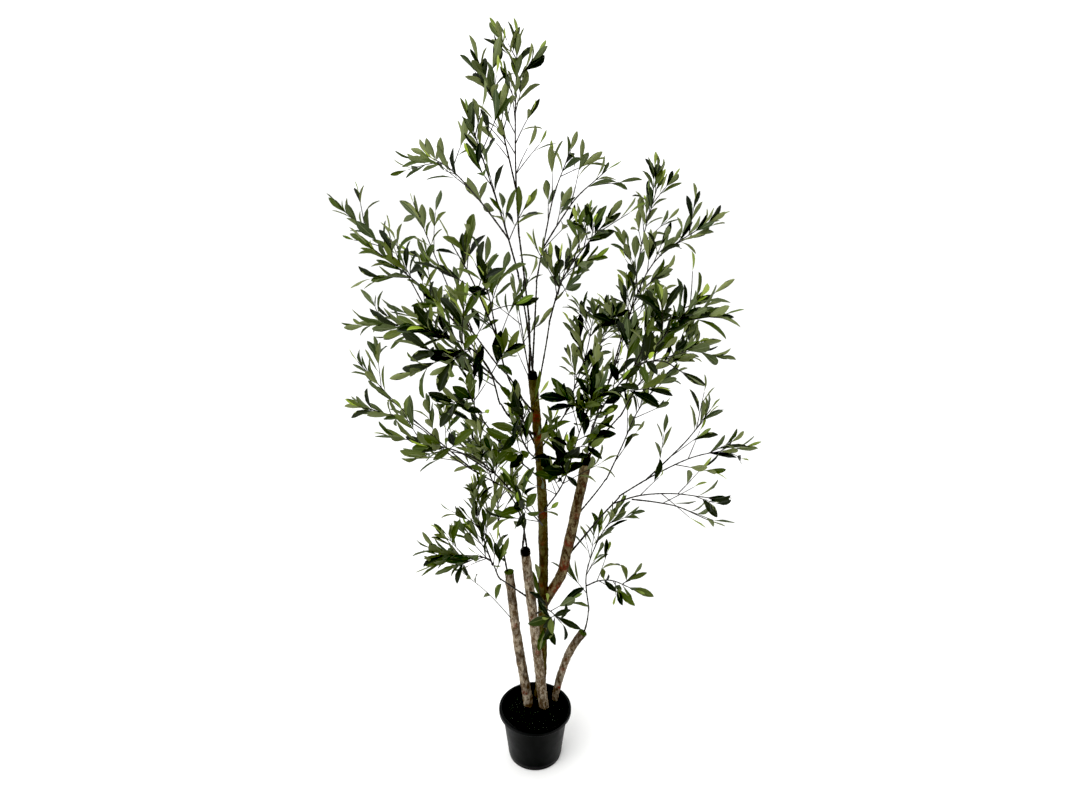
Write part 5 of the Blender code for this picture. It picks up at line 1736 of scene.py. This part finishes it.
class OLIVE_OT_leaves(bpy.types.Operator):
    """Hangs the cloth leaves on the twigs, one joined piece to each tone"""

    bl_idname = "olive.leaves"
    bl_label = "Leaves"

    def execute(self, context):
        settings = context.scene.olive_tree.leaf
        under = printed_cloth("underside_cloth", settings.under, rib_gain=1.25)
        under_young = printed_cloth("young_underside_cloth", settings.under_young, rib_gain=1.2)
        for tone in LEAF_TONES:
            name = tone + "_leaves"
            leaves = [leaf for leaf in growth().leaves if leaf.tone == tone]
            mesh = joined_leaves(name, leaves, settings.thickness)
            top = printed_cloth(tone + "_leaf_cloth", getattr(settings, tone), rib_gain=1.5)
            piece = add_mesh(name, mesh, top, under_young if tone == "young" else under)
            finish_piece(piece, "olive_leaf", *SPRAY_NAMES)
        return {"FINISHED"}


# ---------------------------------------------------------------- stage
LIT_SIDE = (-0.30, 0.95, 0.0)  # the surround is brightest in this direction and over the tree
LIT_FROM, LIT_FULL = -0.75, -0.10  # how far toward that side it starts to brighten and is at its brightest
EYE = (-0.0042, -1.68, 1.66)  # where the camera stands
EYE_PITCH = math.radians(21)  # how far it looks down
LENS, SENSOR = 27, 36  # focal length and width, in millimetres
FLOOR_RADIUS, FLOOR_SIDES = 14, 96
KEY_PLACE = Vector((-1.2, -1.7, 3.2))  # of the large soft light
KEY_AIM = Vector((0, 0, 1.0))
KEY_SIZE = 2.4


class OLIVE_OT_stage(bpy.types.Operator):
    """Sets the floor, the soft light and the camera"""

    bl_idname = "olive.stage"
    bl_label = "Stage"

    def execute(self, context):
        settings = context.scene.olive_tree.stage
        self.floor(settings)
        self.light(context.scene, settings)
        context.scene.world = self.surround(settings)
        camera = bpy.data.cameras.new("camera")
        camera.lens, camera.sensor_width = LENS, SENSOR
        level = math.radians(90)
        context.scene.camera = self.placed("camera", camera, EYE, (level - EYE_PITCH, 0, 0))
        return {"FINISHED"}

    def placed(self, name, data, location, rotation):
        """A new object of the stage at its place."""
        thing = bpy.data.objects.new(name, data)
        thing.location, thing.rotation_euler = location, rotation
        bpy.context.scene.collection.objects.link(thing)
        return thing

    def floor(self, settings):
        """A wide round floor of matt paint."""
        bm = bmesh.new()
        bmesh.ops.create_circle(bm, cap_ends=True, segments=FLOOR_SIDES, radius=FLOOR_RADIUS)
        bmesh.ops.recalc_face_normals(bm, faces=bm.faces)
        material, _ = new_material("matte_paint")
        surfaced(material, Roughness=0.9, Base_Color=rgba(settings.floor))
        add_mesh("floor", mesh_from("floor", bm), material)

    def light(self, scene, settings):
        """One large soft light from the upper left of the front, and the tones that the picture shows."""
        scene.view_settings.view_transform = "Standard"
        scene.view_settings.use_curve_mapping = True
        scene.view_settings.curve_mapping.black_level = [settings.black] * 3
        lamp = bpy.data.lights.new("key", "AREA")
        lamp.energy, lamp.size = settings.key, KEY_SIZE
        rotation = (KEY_AIM - KEY_PLACE).to_track_quat("-Z", "Y").to_euler()
        self.placed("key", lamp, KEY_PLACE, rotation).visible_camera = False

    def surround(self, settings):
        """A white surround that lights the tree less from the front and the right."""
        world = bpy.data.worlds.new("surround")
        world.use_nodes = True
        tree = world.node_tree
        place = add_node(tree, "TexCoord").outputs["Generated"]
        lit = add_node(tree, "VectorMath", {0: place, 1: LIT_SIDE}, operation="DOT_PRODUCT").outputs["Value"]
        span = {0: lit, 1: LIT_FROM, 2: LIT_FULL, 3: settings.front, 4: settings.sky}
        seen = add_node(tree, "LightPath").outputs["Is Camera Ray"]
        inputs = {0: add_node(tree, "MapRange", span), 1: seen}
        shown = add_node(tree, "Math", inputs, operation="MAXIMUM")
        background = tree.nodes["Background"].inputs
        feed(tree, background["Color"], rgba((1, 1, 1)))
        feed(tree, background["Strength"], shown)
        return world


# ---------------------------------------------------------------- add-on
class OliveTreeSettings(bpy.types.PropertyGroup):
    """Everything that can be changed on the tree"""

    pot: PointerProperty(type=PotSettings)
    fill: PointerProperty(type=FillSettings)
    bark: PointerProperty(type=BarkSettings)
    cap: PointerProperty(type=CapSettings)
    wire: PointerProperty(type=WireSettings)
    leaf: PointerProperty(type=LeafSettings)
    stage: PointerProperty(type=StageSettings)


class OLIVE_PT_tree(bpy.types.Panel):
    """Lists the pieces of the tree, each with its settings"""

    bl_idname = "OLIVE_PT_tree"
    bl_label = "Artificial olive tree"
    bl_space_type = "VIEW_3D"
    bl_region_type = "UI"
    bl_category = "Olive tree"

    def draw(self, context):
        for operator, group in STEPS:
            box = self.layout.box()
            box.operator(operator.bl_idname)
            settings = getattr(context.scene.olive_tree, group)
            for name in settings.__annotations__:
                box.prop(settings, name)


STEPS = (
    (OLIVE_OT_pot, "pot"),
    (OLIVE_OT_fill, "fill"),
    (OLIVE_OT_sticks, "bark"),
    (OLIVE_OT_caps, "cap"),
    (OLIVE_OT_wires, "wire"),
    (OLIVE_OT_leaves, "leaf"),
    (OLIVE_OT_stage, "stage"),
)
GROUPS = (
    PotSettings, FillSettings, BarkSettings, CapSettings, WireSettings, LeafSettings, StageSettings,
    OliveTreeSettings,
)
CLASSES = (*GROUPS, *(operator for operator, _ in STEPS), OLIVE_PT_tree)


def register():
    for cls in CLASSES:
        bpy.utils.register_class(cls)
    bpy.types.Scene.olive_tree = PointerProperty(type=OliveTreeSettings)


def unregister():
    del bpy.types.Scene.olive_tree
    for cls in reversed(CLASSES):
        bpy.utils.unregister_class(cls)


def main():
    register()
    bpy.ops.olive.pot()
    bpy.ops.olive.fill()
    bpy.ops.olive.sticks()
    bpy.ops.olive.caps()
    bpy.ops.olive.wires()
    bpy.ops.olive.leaves()
    bpy.ops.olive.stage()


if __name__ == "__main__":
    main()
